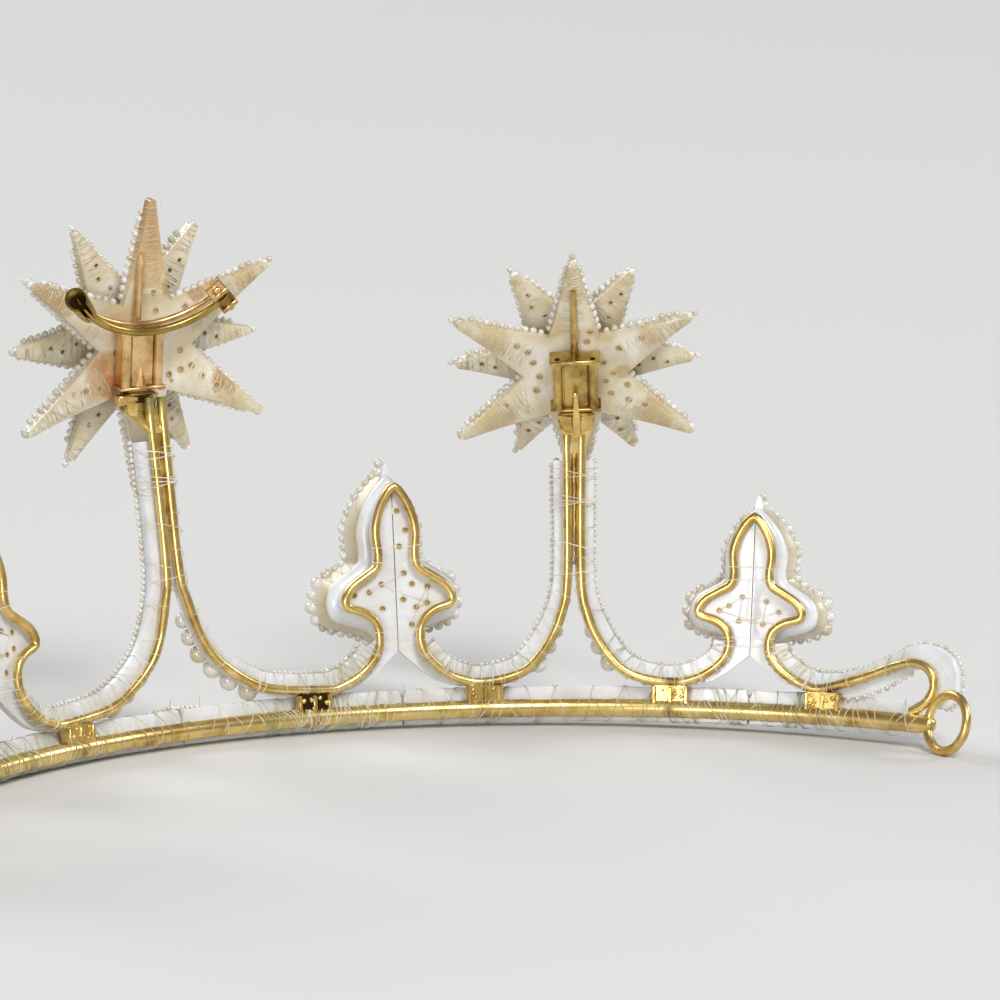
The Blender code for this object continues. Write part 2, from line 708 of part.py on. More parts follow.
def bow_point(x, off):
    bow, away = bow_axes()
    radius = (BOW_HALF ** 2 + BOW_SAG ** 2) / (2 * BOW_SAG)
    rise = radius - (radius ** 2 - x ** 2) ** 0.5
    return Vector((x, BOW_Y, BOW_Z)) + bow * rise + away * off


def bow_frame(x):
    """At x on the bow: its direction, across it, and the side of the pin."""
    away = bow_axes()[1]
    ahead = (bow_point(x + 0.1, 0.0) - bow_point(x - 0.1, 0.0)).normalized()
    return ahead, ahead.cross(away).normalized(), away


def bow_wire(start, end, off, radii, sides):
    steps = len(radii) - 1
    away = bow_axes()[1]
    centres = [bow_point(start + (end - start) * step / steps, off) for step in range(steps + 1)]
    return tube(centres, [away] * len(centres), radii, sides)


def bow_channel(x, half_long, profile):
    """A bar set along the bow at x, with a profile of (across, away) corners."""
    ahead, cross, away = bow_frame(x)
    return loft([[bow_point(x, off) + ahead * along + cross * across
                  for across, off in profile] for along in (-half_long, half_long)])


def catch_profile():
    """The section of the catch: a tube slit open on the side that the pin leaves."""
    middle = CATCH_R + BAR_R - 0.15
    angles = [CATCH_OPEN + (2 * pi - 2 * CATCH_OPEN) * step / CATCH_STEPS
              for step in range(CATCH_STEPS + 1)]
    outer = [(sin(angle) * CATCH_R, middle + cos(angle) * CATCH_R) for angle in angles]
    bore = CATCH_R - CATCH_WALL
    inner = [(sin(angle) * bore, middle + cos(angle) * bore) for angle in reversed(angles)]
    return outer + inner


def brooch_bar_mesh():
    bar = bow_wire(HINGE_X, CATCH_X + 0.6, 0.0, [BAR_R] * 13, 8)
    prongs = [rod((x, BOX_BACK - 0.05, 0.0), (0.0, 0.0, 1.0), 0.16,
                  SOCKET_TOP - 0.9, BOW_Z + 0.35, 6) for x in (-TUBE_X, TUBE_X)]
    catch = bow_channel(CATCH_X, CATCH_LONG / 2, catch_profile())
    top = PIN_OFF + 0.7
    hinge = bow_channel(HINGE_X, HINGE_LONG / 2, (
        (-HINGE_HALF, -0.6), (HINGE_HALF, -0.6), (HINGE_HALF, top), (HINGE_SLOT, top),
        (HINGE_SLOT, 0.55), (-HINGE_SLOT, 0.55), (-HINGE_SLOT, top), (-HINGE_HALF, top)))
    return solder("brooch_bar", [bar, catch, hinge] + prongs)


def pin_axis():
    """Where the pin turns, and the direction of its rivet, in the star's axes."""
    return bow_point(HINGE_X, PIN_OFF), bow_frame(HINGE_X)[1]


def brooch_pin_shapes():
    wire = bow_wire(HINGE_X, CATCH_X + 1.6, PIN_OFF, [PIN_R] * 10 + [0.4, 0.28, 0.12], 8)
    pivot, axis = pin_axis()
    knuckle = rod(pivot, axis, 0.75, -0.6, 0.6, 10)
    return wire, knuckle


def rest_tilt():
    """The tilt at which the rings and the front strips stand on one surface."""
    ring = min(end_ring(1)[0], key=lambda point: point.z)
    strip = on_band(STRIP_SPLITS[0], STRIP_LOW, RAIL_R + GAP + STRIP_THICK)
    return atan2(strip.z - ring.z, ring.y - strip.y)


def stand_on_ground(stand):
    """Move the tiara so that the middle of its box's underside is at zero."""
    bpy.context.view_layer.update()
    points = [node.matrix_world @ vertex.co
              for node in bpy.data.objects if node.type == "MESH" for vertex in node.data.vertices]
    low = Vector([min(point[axis] for point in points) for axis in range(3)])
    high = Vector([max(point[axis] for point in points) for axis in range(3)])
    stand.location = (-(low.x + high.x) / 2, -(low.y + high.y) / 2, -low.z)


clear_scene()
gold = make_material("gold", GOLD)
nacre = make_material("mother_of_pearl", NACRE)
pearl = make_material("pearl", PEARL)

stand = make_empty("tiara", Matrix.Rotation(rest_tilt(), 4, "X"))

make_node("gold_frame", frame_mesh(), gold, stand)

for side, hand in ((-1, "left"), (1, "right")):
    for number, (start, end) in enumerate(rail_strip_spans(), start=1):
        shape = rail_strip(side * start, side * end)
        name = f"rail_strip_{hand}_{number}"
        make_node(name, make_mesh(name, shape), nacre, stand)
    for number, curve in enumerate(bay_curves(), start=1):
        name = f"bay_strip_{hand}_{number}"
        make_node(name, make_mesh(name, bay_strip(curve, side)), nacre, stand)
    for which in FLEUR_S:
        name = f"fleur_plate_{hand}_{which}"
        make_node(name, make_mesh(name, fleur_plate(which, side)), nacre, stand)
        name = f"fleur_front_{hand}_{which}"
        make_node(name, make_mesh(name, fleur_front(which, side)), nacre, stand)

for which in STAR_S:
    place = make_empty(f"star_{which}", star_matrix(which), stand)
    make_node(f"star_plate_{which}", star_plate_mesh(which), nacre, place)
    make_node(f"star_front_{which}", star_front_mesh(which), nacre, place)
    seat = socket_seat(which)
    socket = make_node(f"star_socket_{which}", socket_mesh(), gold, place)
    socket.location = seat * MM
    stone = ball((0.0, 0.0, 0.0), CENTRE_PEARL_R, 14, 9)
    centre_pearl = make_node(f"star_pearl_{which}", make_mesh("star_pearl", stone), pearl, place)
    centre_pearl.location = Vector((0.0, centre_pearl_y(), 0.0)) * MM
    if which == "centre":
        bar = make_node("brooch_bar", brooch_bar_mesh(), gold, place)
        bar.location = seat * MM
        pivot, _ = pin_axis()
        moved = [([point - pivot for point in points], faces)
                 for points, faces in brooch_pin_shapes()]
        turning = make_empty("pin_axis", Matrix.Translation(seat + pivot), place)
        make_node("brooch_pin", solder("brooch_pin", moved), gold, turning)

for which in STAR_S:
    for side, hand in ((-1, "left"), (1, "right")):
        name = f"pearl_string_{which}_{hand}"
        make_node(name, make_mesh(name, pearl_string(which, side)), pearl, stand)

stand_on_ground(stand)
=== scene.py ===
"""Surfaces of a pearl tiara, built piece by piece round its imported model.

Sizes are millimetres of the real piece until a mesh is made. Places on the
tiara follow its band: s along the rail, h up the band, out towards its front.
"""
import random
from math import atan2, cos, exp, hypot, pi, radians, sin

import bmesh
import bpy
from mathutils import Matrix, Vector
from mathutils.geometry import delaunay_2d_cdt


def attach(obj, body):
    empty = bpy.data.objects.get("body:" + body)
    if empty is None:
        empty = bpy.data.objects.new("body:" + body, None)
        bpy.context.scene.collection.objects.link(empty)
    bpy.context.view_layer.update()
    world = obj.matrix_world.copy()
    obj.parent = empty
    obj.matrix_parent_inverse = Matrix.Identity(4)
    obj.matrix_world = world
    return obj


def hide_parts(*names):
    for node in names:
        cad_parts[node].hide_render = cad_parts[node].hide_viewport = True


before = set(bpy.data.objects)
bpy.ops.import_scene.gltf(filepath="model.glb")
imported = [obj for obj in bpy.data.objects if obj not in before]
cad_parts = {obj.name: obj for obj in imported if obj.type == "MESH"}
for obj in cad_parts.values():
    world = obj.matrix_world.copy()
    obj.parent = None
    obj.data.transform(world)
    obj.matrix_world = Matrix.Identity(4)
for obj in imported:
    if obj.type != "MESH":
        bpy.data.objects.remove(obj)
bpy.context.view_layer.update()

# The rail is a round bar of silver-gilt, bent to the curve of the head and
# burnished. It carries all the rest, and gilt wear and handling show along it.
MM = 0.001
BAND_R = 80.0
BAND_LEAN = radians(10.5)
STAND = Matrix.Translation((0.0, 62.757, 3.583)) @ Matrix.Rotation(radians(1.09084), 4, "X")
RAIL_R = 1.05
RAIL_END = 92.0


def band_axes(s):
    """Directions at s: along the rail, up the band and out of its front."""
    angle = s / BAND_R
    level = Vector((0.0, 0.0, 1.0))
    away = Vector((sin(angle), -cos(angle), 0.0))
    turn = STAND.to_3x3()
    up = away * sin(BAND_LEAN) + level * cos(BAND_LEAN)
    out = away * cos(BAND_LEAN) - level * sin(BAND_LEAN)
    return turn @ Vector((cos(angle), sin(angle), 0.0)), turn @ up, turn @ out


def on_band(s, h, out=0.0):
    """The place in space of a point on the tiara's band."""
    angle = s / BAND_R
    _, up, front = band_axes(s)
    return STAND @ (Vector((sin(angle), -cos(angle), 0.0)) * BAND_R) + up * h + front * out


def quads(rows, count, first=0):
    """Four-sided faces between neighbouring rings of count points."""
    faces = []
    for row in range(rows):
        for turn in range(count):
            here, there = first + row * count + turn, first + row * count + (turn + 1) % count
            faces.append((here, there, there + count, here + count))
    return faces


def loft(rings, wear=0.0):
    """A closed shape through rings of equally many points; its mark of wear and painted shade is one value,
    or one a ring.
    """
    count = len(rings[0])
    tones = wear if isinstance(wear, list) else [wear] * len(rings)
    points = [point for ring in rings for point in ring]
    faces = quads(len(rings) - 1, count)
    faces += [tuple(range(count)), tuple(range(len(points) - count, len(points)))]
    return points, faces, [tone for tone in tones for _ in range(count)]


def tube(centres, fronts, radii, sides, wear=0.0):
    """A round bar through centres, each with the direction of its front and a radius."""
    rings = []
    angles = [2 * pi * turn / sides for turn in range(sides)]
    for number, (centre, front, radius) in enumerate(zip(centres, fronts, radii)):
        before, after = centres[max(number - 1, 0)], centres[min(number + 1, len(centres) - 1)]
        side = (after - before).normalized().cross(front).normalized()
        rings.append([centre + (front * cos(angle) + side * sin(angle)) * radius for angle in angles])
    return loft(rings, wear)


def colour(code):
    """An sRGB hex colour as linear RGBA."""
    parts = [int(code[place:place + 2], 16) / 255 for place in (1, 3, 5)]
    return tuple(p / 12.92 if p <= 0.04045 else ((p + 0.055) / 1.055) ** 2.4
                 for p in parts) + (1.0,)


def add_node(tree, kind, settings=(), links=()):
    """Add a node; a setting goes to its input of that name, or else to the node itself."""
    node = tree.nodes.new(kind)
    for key, value in dict(settings).items():
        if isinstance(key, int) or key in node.inputs:
            node.inputs[key].default_value = value
        else:
            setattr(node, key, value)
    for key, socket in dict(links).items():
        tree.links.new(socket, node.inputs[key])
    return node


def put_in_scene(name, data):
    """A new object with this mesh, lens or lamp."""
    thing = bpy.data.objects.new(name, data)
    bpy.context.scene.collection.objects.link(thing)
    return thing


def make_piece(name, shapes, finish, body, stands_for=()):
    """One object from shapes in millimetres, riding on a body of the model."""
    points, faces, wear = [], [], []
    for shape in shapes:
        first = len(points)
        points.extend(shape[0])
        faces.extend([first + index for index in face] for face in shape[1])
        wear.extend(shape[2] if len(shape) > 2 else [0.0] * len(shape[0]))
    mesh = bpy.data.meshes.new(name)
    mesh.from_pydata([tuple(value * MM for value in point) for point in points], [], faces)
    work = bmesh.new()
    work.from_mesh(mesh)
    bmesh.ops.recalc_face_normals(work, faces=work.faces)
    work.to_mesh(mesh)
    work.free()
    mesh.attributes.new("wear", "FLOAT", "POINT").data.foreach_set("value", wear)
    mesh.materials.append(finish)
    mesh.shade_smooth()
    mesh.set_sharp_from_angle(angle=radians(42))
    piece = put_in_scene(name, mesh)
    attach(piece, body)
    if stands_for:
        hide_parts(*stands_for)
    return piece


def start_finish(name, values):
    """A new material with these shader values, its nodes, its shader and the place in the piece."""
    finish = bpy.data.materials.new(name)
    finish.use_nodes = True
    tree = finish.node_tree
    shader = tree.nodes["Principled BSDF"]
    for key, value in values.items():
        shader.inputs[key].default_value = value
    return finish, tree, shader, add_node(tree, "ShaderNodeTexCoord").outputs["Object"]


def noise(tree, where, grain_mm, **settings):
    """Noise with a grain of so many millimetres."""
    return add_node(tree, "ShaderNodeTexNoise", {"Scale": 1 / (grain_mm * MM), **settings},
                    {"Vector": where}).outputs["Fac"]


def wear_and_shade_of(tree):
    """The mark of wear, and of painted shade in hollows, holes and tube mouths, that each point of the mesh
    carries.
    """
    return add_node(tree, "ShaderNodeAttribute", {"attribute_name": "wear"}).outputs["Fac"]


def ramp(tree, value, low, high, top=1.0, bottom=0.0):
    """Goes from bottom to top while a value goes from low to high."""
    node = add_node(tree, "ShaderNodeMapRange", {
        "From Min": low, "From Max": high, "To Min": bottom, "To Max": top}, {"Value": value})
    return node.outputs["Result"]


def work_out(tree, operation, *values):
    """A value worked out from others, each a number or a socket."""
    node = add_node(tree, "ShaderNodeMath", {"operation": operation})
    for place, value in enumerate(values):
        if isinstance(value, float):
            node.inputs[place].default_value = value
        else:
            tree.links.new(value, node.inputs[place])
    return node.outputs["Value"]


def tint(tree, under, over, amount):
    """One colour laid over another by an amount; the one below is a code or a socket."""
    node = add_node(tree, "ShaderNodeMix", {"data_type": "RGBA", 7: colour(over)}, {0: amount})
    if isinstance(under, str):
        node.inputs[6].default_value = colour(under)
    else:
        tree.links.new(under, node.inputs[6])
    return node.outputs[2]


def relief(tree, shader, height, strength, depth_mm):
    """Fine relief of the surface, as deep as so many millimetres."""
    bump = add_node(tree, "ShaderNodeBump", {"Strength": strength, "Distance": depth_mm * MM},
                    {"Height": height})
    tree.links.new(bump.outputs["Normal"], shader.inputs["Normal"])


def burnished_gilt(name, bright, rubbed_through):
    """Burnished gilding on silver: mirror-like and warm, duller where it is rubbed.

    Parts marked above 0 turn to dark solder and soot, and where marked highest the soot colour paints the
    shade inside tube mouths; those below 0 turn to green verdigris.
    """
    finish, tree, shader, where = start_finish(name, {"Metallic": 1.0})
    # patches of rubbed gilding are about 3 mm across, burnishing strokes and dents 0.55 mm
    patch = noise(tree, where, 3.0, Detail=6.0, Roughness=0.65)
    dent = noise(tree, where, 0.55, Detail=3.0)
    worn_and_shaded = wear_and_shade_of(tree)
    metal = tint(tree, bright, rubbed_through, ramp(tree, patch, 0.42, 0.7))
    broken = work_out(tree, "MULTIPLY_ADD", patch, 0.9, -0.45)
    soot_and_shade_on = ramp(tree, work_out(tree, "ADD", worn_and_shaded, broken), 0.12, 0.55)
    green_on = ramp(tree, work_out(tree, "MULTIPLY_ADD", worn_and_shaded, -1.0, broken), 0.2, 0.7)
    # soot colour: real soot by the blocks, and painted shade where the socket tubes and the catch open
    metal = tint(tree, tint(tree, metal, "#3B2C1B", soot_and_shade_on), "#7F8A55", green_on)
    tree.links.new(metal, shader.inputs["Base Color"])
    crust_and_shade = work_out(tree, "MAXIMUM", soot_and_shade_on, green_on)
    gloss = ramp(tree, patch, 0.0, 1.0, 0.42, 0.2)
    tree.links.new(work_out(tree, "MULTIPLY_ADD", crust_and_shade, 0.35, gloss), shader.inputs["Roughness"])
    relief(tree, shader, dent, 0.3, 0.05)
    return finish


gilt = burnished_gilt("silver_gilt", "#F6D88C", "#BF9A52")
BLOCK_S = (16.8, 38.0, 60.0, 78.4)
rail_steps = 230
rail_s = [RAIL_END * (2 * step / rail_steps - 1) for step in range(rail_steps + 1)]
gold_shapes = [tube(
    [on_band(s, 0.0) for s in rail_s], [band_axes(s)[2] for s in rail_s],
    [RAIL_R * (1 + 0.008 * sin(s * 1.3) + 0.006 * sin(s * 0.57)) for s in rail_s], 28,
    [0.30 * exp(-min(abs(abs(s) - b) for b in BLOCK_S) / 1.6) for s in rail_s])]

# Bent wires are soldered on the rail: each rises as one side of a post, sweeps down,
# goes up round a leaf and down again. They are the same silver-gilt, hammered a little.
WIRE_R = 0.55
POST_HALF = 0.8
STAR_S = {"left": -48.7, "centre": 0.0, "right": 48.7}
POST_TOP = {"left": 32.4, "centre": 39.1, "right": 32.4}
LEAF_S = {"inner": 28.1, "outer": 69.1}
LEAF_TIP = {"inner": 26.7, "outer": 23.1}
LEAF_BREADTH = {"inner": 1.0, "outer": 0.95}
FOOT_H = 3.1
TALL_SWEEP = ((0.8, 20.0), (1.5, 15.3), (3.0, 10.6), (5.1, 7.6), (8.8, 4.9), (12.2, 3.7))
LOW_SWEEP = ((0.8, 16.0), (1.55, 11.0), (3.2, 7.4), (5.5, 4.7), (8.3, 3.5))
LEAF_WIRE = (
    (9.3, 3.15), (7.4, 3.5), (5.6, 4.3), (3.9, 5.7), (2.8, 7.2), (2.45, 8.9), (2.9, 10.8),
    (4.3, 12.0), (6.1, 12.6), (6.4, 13.5), (5.6, 14.9), (3.9, 16.1), (2.5, 17.1), (2.15, 18.6),
    (2.35, 21.3), (1.9, 23.6), (1.0, 25.6), (0.0, 26.7))
SCROLL_WIRE = (
    (82.7, 4.7), (86.4, 6.3), (89.2, 7.1), (91.2, 6.4), (92.0, 4.6), (91.2, 2.6), (89.3, 1.3))


def rounded(points, steps):
    """A smooth flat line through points, open at its ends."""
    ends = [points[0]] + list(points) + [points[-1]]
    fine = []
    for before, here, there, after in zip(ends, ends[1:], ends[2:], ends[3:]):
        for part in range(steps):
            t = part / steps
            fine.append(tuple(
                0.5 * (2 * b + (c - a) * t + (2 * a - 5 * b + 4 * c - d) * t * t
                       + (3 * b - a - 3 * c + d) * t ** 3)
                for a, b, c, d in zip(before, here, there, after)))
    fine.append(tuple(points[-1]))
    return fine


def even_curve(points, step):
    """Evenly spaced points of a smooth curve through flat points."""
    fine = rounded(points, 16)
    kept, run = [fine[0]], 0.0
    for here, there in zip(fine, fine[1:]):
        run += hypot(there[0] - here[0], there[1] - here[1])
        if run >= step:
            kept.append(there)
            run = 0.0
    if kept[-1] != fine[-1]:
        kept.append(fine[-1])
    return kept


def leaf_row(which, half, h):
    """A leaf's row stretched to its own breadth and tip height."""
    stretch = (LEAF_TIP[which] - FOOT_H) / (LEAF_TIP["inner"] - FOOT_H)
    return half * LEAF_BREADTH[which], FOOT_H + (h - FOOT_H) * stretch


def leaf_wire(which):
    """The wire round a leaf: its rising side, then its falling side."""
    rows = [leaf_row(which, half, h) for half, h in LEAF_WIRE]
    return ([(LEAF_S[which] - half, h) for half, h in rows],
            [(LEAF_S[which] + half, h) for half, h in reversed(rows[:-1])])


def post_wire(star, side, sweep, top):
    """One side of a post, from its top down into the bay."""
    return [(star + side * half, h) for half, h in ((POST_HALF, top),) + sweep]


def inner_wire():
    """The wire from the middle post round the inner leaf to the side post."""
    rising, falling = leaf_wire("inner")
    start = post_wire(0.0, 1, TALL_SWEEP, POST_TOP["centre"])
    finish = post_wire(STAR_S["right"], -1, LOW_SWEEP, POST_TOP["right"])
    return start, rising, falling, list(reversed(finish))


def outer_wire():
    """The wire from the side post round the outer leaf into the scroll."""
    rising, falling = leaf_wire("outer")
    start = post_wire(STAR_S["right"], 1, LOW_SWEEP, POST_TOP["right"])
    return start, rising, falling, list(SCROLL_WIRE)


def wire_wear(s, h):
    """Soot of the soldering by each block, verdigris at the top of the middle post."""
    block = min(hypot(abs(s) - b, h - 2.6) for b in BLOCK_S)
    green = max(0.0, (h - 34.5) / 4.5) if abs(s) < 3 else 0.0
    return 0.42 * exp(-block / 1.5) - 0.5 * green


for parts in (inner_wire(), outer_wire()):
    curve = even_curve([point for part in parts for point in part], 0.55)
    for side in (-1, 1):
        places = [(side * s, h) for s, h in curve]
        gold_shapes.append(tube(
            [on_band(s, h) for s, h in places], [band_axes(s)[2] for s, _ in places],
            [WIRE_R * (1 + 0.03 * sin(n * 0.83) + 0.025 * sin(n * 0.31)) for n in range(len(places))],
            16, [wire_wear(s, h) for s, h in places]))

for which, low in (("left", 17.0), ("centre", 21.0), ("right", 17.0)):
    heights = [low + (POST_TOP[which] - 1.0 - low) * step / 24 for step in range(25)]
    s = STAR_S[which]
    gold_shapes.append(tube(
        [on_band(s + 0.04 * sin(3.1 * h), h, 0.12) for h in heights],
        [band_axes(s)[2] for _ in heights],
        [0.1 + 0.2 * (h - low) / (POST_TOP[which] - low) + 0.03 * sin(5.3 * h) for h in heights], 10,
        [0.3 + 0.1 * sin(2.0 * h) for h in heights]))

# Eight little solder blocks lift the wires off the rail: a gilt plate sunk between
# cheeks, with drops of solder on it. On one the gilding has gone and it is black inside.
CHEEK_S = 1.9


def hull(points, wear=0.0):
    """The closed shape with flat faces round some points."""
    work = bmesh.new()
    for point in points:
        work.verts.new(point)
    made = bmesh.ops.convex_hull(work, input=work.verts)
    loose = [item for item in made["geom_interior"] if isinstance(item, bmesh.types.BMVert)]
    bmesh.ops.delete(work, geom=loose, context="VERTS")
    work.verts.index_update()
    shape = ([vertex.co.copy() for vertex in work.verts],
             [[vertex.index for vertex in face.verts] for face in work.faces],
             [wear] * len(work.verts))
    work.free()
    return shape


def block(low, high, cut, place, wear=0.0):
    """A block with cut edges, put in its place by a function of three sizes."""
    points = []
    for x in (0, 1):
        for y in (0, 1):
            for z in (0, 1):
                corner = [(high if pick else low)[axis] for axis, pick in enumerate((x, y, z))]
                inward = [-cut if pick else cut for pick in (x, y, z)]
                for kept in range(3):
                    points.append(place(*[corner[axis] + (0.0 if axis == kept else inward[axis])
                                          for axis in range(3)]))
    return hull(points, wear)


def drop(centre, radius, squash=(1.0, 1.0, 1.0), sides=12, rows=8, wear=0.0):
    """A round drop of metal or shell."""
    middle = Vector(centre)
    points = [middle - Vector((0.0, 0.0, radius * squash[2]))]
    for row in range(1, rows):
        lift = pi * row / rows
        for turn in range(sides):
            angle = 2 * pi * turn / sides
            points.append(middle + radius * Vector((
                squash[0] * sin(lift) * cos(angle), squash[1] * sin(lift) * sin(angle),
                -squash[2] * cos(lift))))
    points.append(middle + Vector((0.0, 0.0, radius * squash[2])))
    faces = quads(rows - 2, sides, 1)
    last = 1 + (rows - 2) * sides
    for turn in range(sides):
        after = (turn + 1) % sides
        faces.append((0, 1 + after, 1 + turn))
        faces.append((last + turn, last + after, len(points) - 1))
    return points, faces, [wear] * len(points)


chance = random.Random(5)
for side in (-1, 1):
    for number, middle in enumerate(BLOCK_S):
        burnt = 1.0 if number == 0 and side < 0 else 0.12

        def at_block(along, out, h):
            return on_band(side * middle + along, h, out)

        gold_shapes.append(block((-1.95, -0.5, 0.5), (1.95, 0.75, 2.85), 0.12, at_block, burnt))
        for cheek in (-CHEEK_S, CHEEK_S):
            gold_shapes.append(block(
                (cheek - 0.25, -0.85, 0.55), (cheek + 0.25, 0.85, 2.7), 0.14, at_block, 0.15))
        gold_shapes.append(block((-0.3, -0.78, 0.7), (0.25, 0.3, 2.6), 0.12, at_block, 0.1))
        for _ in range(7):
            place = at_block(chance.uniform(-1.6, 1.6), -0.5, chance.uniform(1.1, 2.4))
            gold_shapes.append(drop(place, chance.uniform(0.16, 0.34), wear=0.05))

# A gilt ring is soldered on each end of the rail, turned in a little, for the
# ribbon or band that holds the tiara at the back of the head.
END_RING_R = 3.35
END_RING_WIRE = 0.56
END_RING_TURN = radians(25.0)
END_RING_TILT = radians(15.0)
END_RING_LIFT = 0.7


def end_ring(side):
    """The ring on one end of the rail, and the drop of solder that holds it."""
    angle = side * RAIL_END / BAND_R
    level = Vector((0.0, 0.0, 1.0))
    along = Vector((cos(angle), sin(angle), 0.0)) * side
    reach = Matrix.Rotation(side * END_RING_TURN, 3, "Z") @ along
    outward = reach.cross(level) * side
    upright = level * cos(END_RING_TILT) + outward * sin(END_RING_TILT)
    foot = Vector((sin(angle), -cos(angle), 0.0)) * BAND_R
    middle = foot + reach * (END_RING_R - 0.3) + level * END_RING_LIFT
    axis = (STAND.to_3x3() @ reach.cross(upright)).normalized()
    count, sides = 56, 14
    points, wear = [], []
    for turn in range(count):
        bend = 2 * pi * turn / count
        spoke = STAND.to_3x3() @ (reach * cos(bend) + upright * sin(bend))
        for step in range(sides):
            twist = 2 * pi * step / sides
            points.append(STAND @ middle + spoke * (END_RING_R + END_RING_WIRE * cos(twist))
                          + axis * END_RING_WIRE * sin(twist))
            wear.append(0.35 * exp(-abs(bend - pi) * 2.0))
    faces = [[index % len(points) for index in face] for face in quads(count, sides)]
    joint = drop(on_band(side * (RAIL_END - 0.35), 0.0), 1.06, wear=0.2)
    return [(points, faces, wear), joint]


for side in (-1, 1):
    gold_shapes += end_ring(side)

# On each post sits a wedge of folded gilt plate with a flat tongue, which goes up into
# the star's socket. A narrow spring finger behind it keeps each side star from lifting.
STAR_STAND = {
    # turn about the upright, lean back, roll; distance from the middle, height
    "left": (-36.5, 24.6, 2.4, 85.4, 39.3),
    "centre": (-6.6, 5.9, 1.3, 89.4, 44.1),
    "right": (36.5, 24.6, -2.4, 85.4, 39.3)}
WEDGE_FOOT = {"left": 30.2, "centre": 34.9, "right": 30.2}
SOCKET_SEAT = {"left": (0.0, 1.4), "centre": (1.6, 0.5), "right": (0.0, 1.4)}
SOCKET_LOW = -4.4
SOCKET_TOP = 1.7
SOCKET_Y = 0.8
BOX_BACK = 2.8
LIP = 0.6
LIP_BACK = 3.3
SHOULDER = SOCKET_LOW - LIP - 0.3
WEDGE_HALF = 2.1
FINGER_HALF = 0.42
TONGUE_HALF = 1.25


def star_place(which):
    """Where a star stands: x to its side, y to its back, z up along the post."""
    turn, lean, roll, radius, height = STAR_STAND[which]
    angle = STAR_S[which] / BAND_R
    return (STAND @ Matrix.Translation((sin(angle) * radius, -cos(angle) * radius, height))
            @ Matrix.Rotation(radians(turn), 4, "Z") @ Matrix.Rotation(radians(-lean), 4, "X")
            @ Matrix.Rotation(radians(roll), 4, "Y"))


def socket_place(which):
    """Where a star's socket sits, a little off the star's middle."""
    side, up = SOCKET_SEAT[which]
    return star_place(which) @ Matrix.Translation((side, 0.0, up))


def by_stand(stand):
    """A function that puts a star's own x, y and z in space."""
    return lambda x, y, z: stand @ Vector((x, y, z))


for which in STAR_S:
    in_star = by_stand(socket_place(which))
    green = -0.35 if which == "centre" else 0.12
    foot = [on_band(STAR_S[which] + along, WEDGE_FOOT[which], out)
            for along, out in ((-1.15, 0.45), (1.15, 0.45), (1.15, -0.45), (-1.15, -0.45))]
    top = [in_star(x, y, SHOULDER - 1.4)
           for x in (-WEDGE_HALF, WEDGE_HALF) for y in (SOCKET_Y + 0.2, BOX_BACK - 0.3)]
    low = [in_star(x, y, SHOULDER - 2.4)
           for x in (0.35 - WEDGE_HALF, WEDGE_HALF - 0.35) for y in (SOCKET_Y + 0.35, BOX_BACK - 0.3)]
    gold_shapes.append(hull(foot + low, green))
    gold_shapes.append(hull(low + top, green))
    gold_shapes.append(block((-2.0, SOCKET_Y + 0.3, SHOULDER - 2.2),
                             (2.0, BOX_BACK - 0.1, SHOULDER), 0.1, in_star, 0.25))
    for flap in (-1, 1):
        gold_shapes.append(hull([in_star(flap * x, y, z) for x, y, z in (
            (0.6, BOX_BACK - 0.2, SHOULDER - 0.4), (2.15, BOX_BACK - 0.2, SHOULDER - 0.1),
            (0.6, BOX_BACK + 0.15, SHOULDER - 0.4), (2.15, BOX_BACK + 0.1, SHOULDER - 0.1),
            (0.5, BOX_BACK, SHOULDER - 2.8), (1.5, BOX_BACK - 0.2, SHOULDER - 2.6))], 0.0))
    if which == "centre":
        gold_shapes.append(block((1.75, SOCKET_Y + 0.9, SHOULDER - 1.25),
                                 (3.05, BOX_BACK + 0.1, SHOULDER - 0.1), 0.1, in_star, 0.05))
        gold_shapes.append(block((-1.5, BOX_BACK - 0.2, SHOULDER - 1.1),
                                 (0.9, BOX_BACK + 0.12, SHOULDER - 0.2), 0.08, in_star, 0.45))
    gold_shapes.append(block((-TONGUE_HALF, 1.5, SHOULDER - 1.0), (TONGUE_HALF, 2.0, 0.3), 0.08, in_star))
    if which == "centre":
        continue
    finger = [in_star(x, y, z) for x, y, z in (
        (-0.45, BOX_BACK - 0.6, SHOULDER - 2.5), (0.45, BOX_BACK - 0.6, SHOULDER - 2.5),
        (-FINGER_HALF, LIP_BACK + 0.7, SHOULDER - 2.5), (FINGER_HALF, LIP_BACK + 0.7, SHOULDER - 2.5))]
    bend = [in_star(x, y, SHOULDER - 0.3)
            for x in (-FINGER_HALF, FINGER_HALF) for y in (LIP_BACK + 0.3, LIP_BACK + 0.74)]
    tip = [in_star(x, y, -2.0) for x in (-0.2, 0.2) for y in (LIP_BACK + 0.32, LIP_BACK + 0.55)]
    gold_shapes.append(hull(finger + bend))
    gold_shapes.append(hull(bend + tip))
    gold_shapes.append(drop(in_star(0.0, LIP_BACK + 0.5, -2.1), 0.36, (1.0, 0.6, 1.0)))
make_piece("gilt_frame", gold_shapes, gilt, "frame", ("gold_frame",))

# Strips of mother-of-pearl are sewn along the front of the rail, butted end to end
# with saw-cut joints. The shell is polished, milky white, with faint rose and green in it.
STRIP_LOW = -1.6
STRIP_TOP = 2.55
STRIP_BACK = RAIL_R + 0.3
STRIP_THICK = 1.1
STRIP_ENDS = (0.15, 28.25, 28.55, 69.05, 69.35, 89.85)


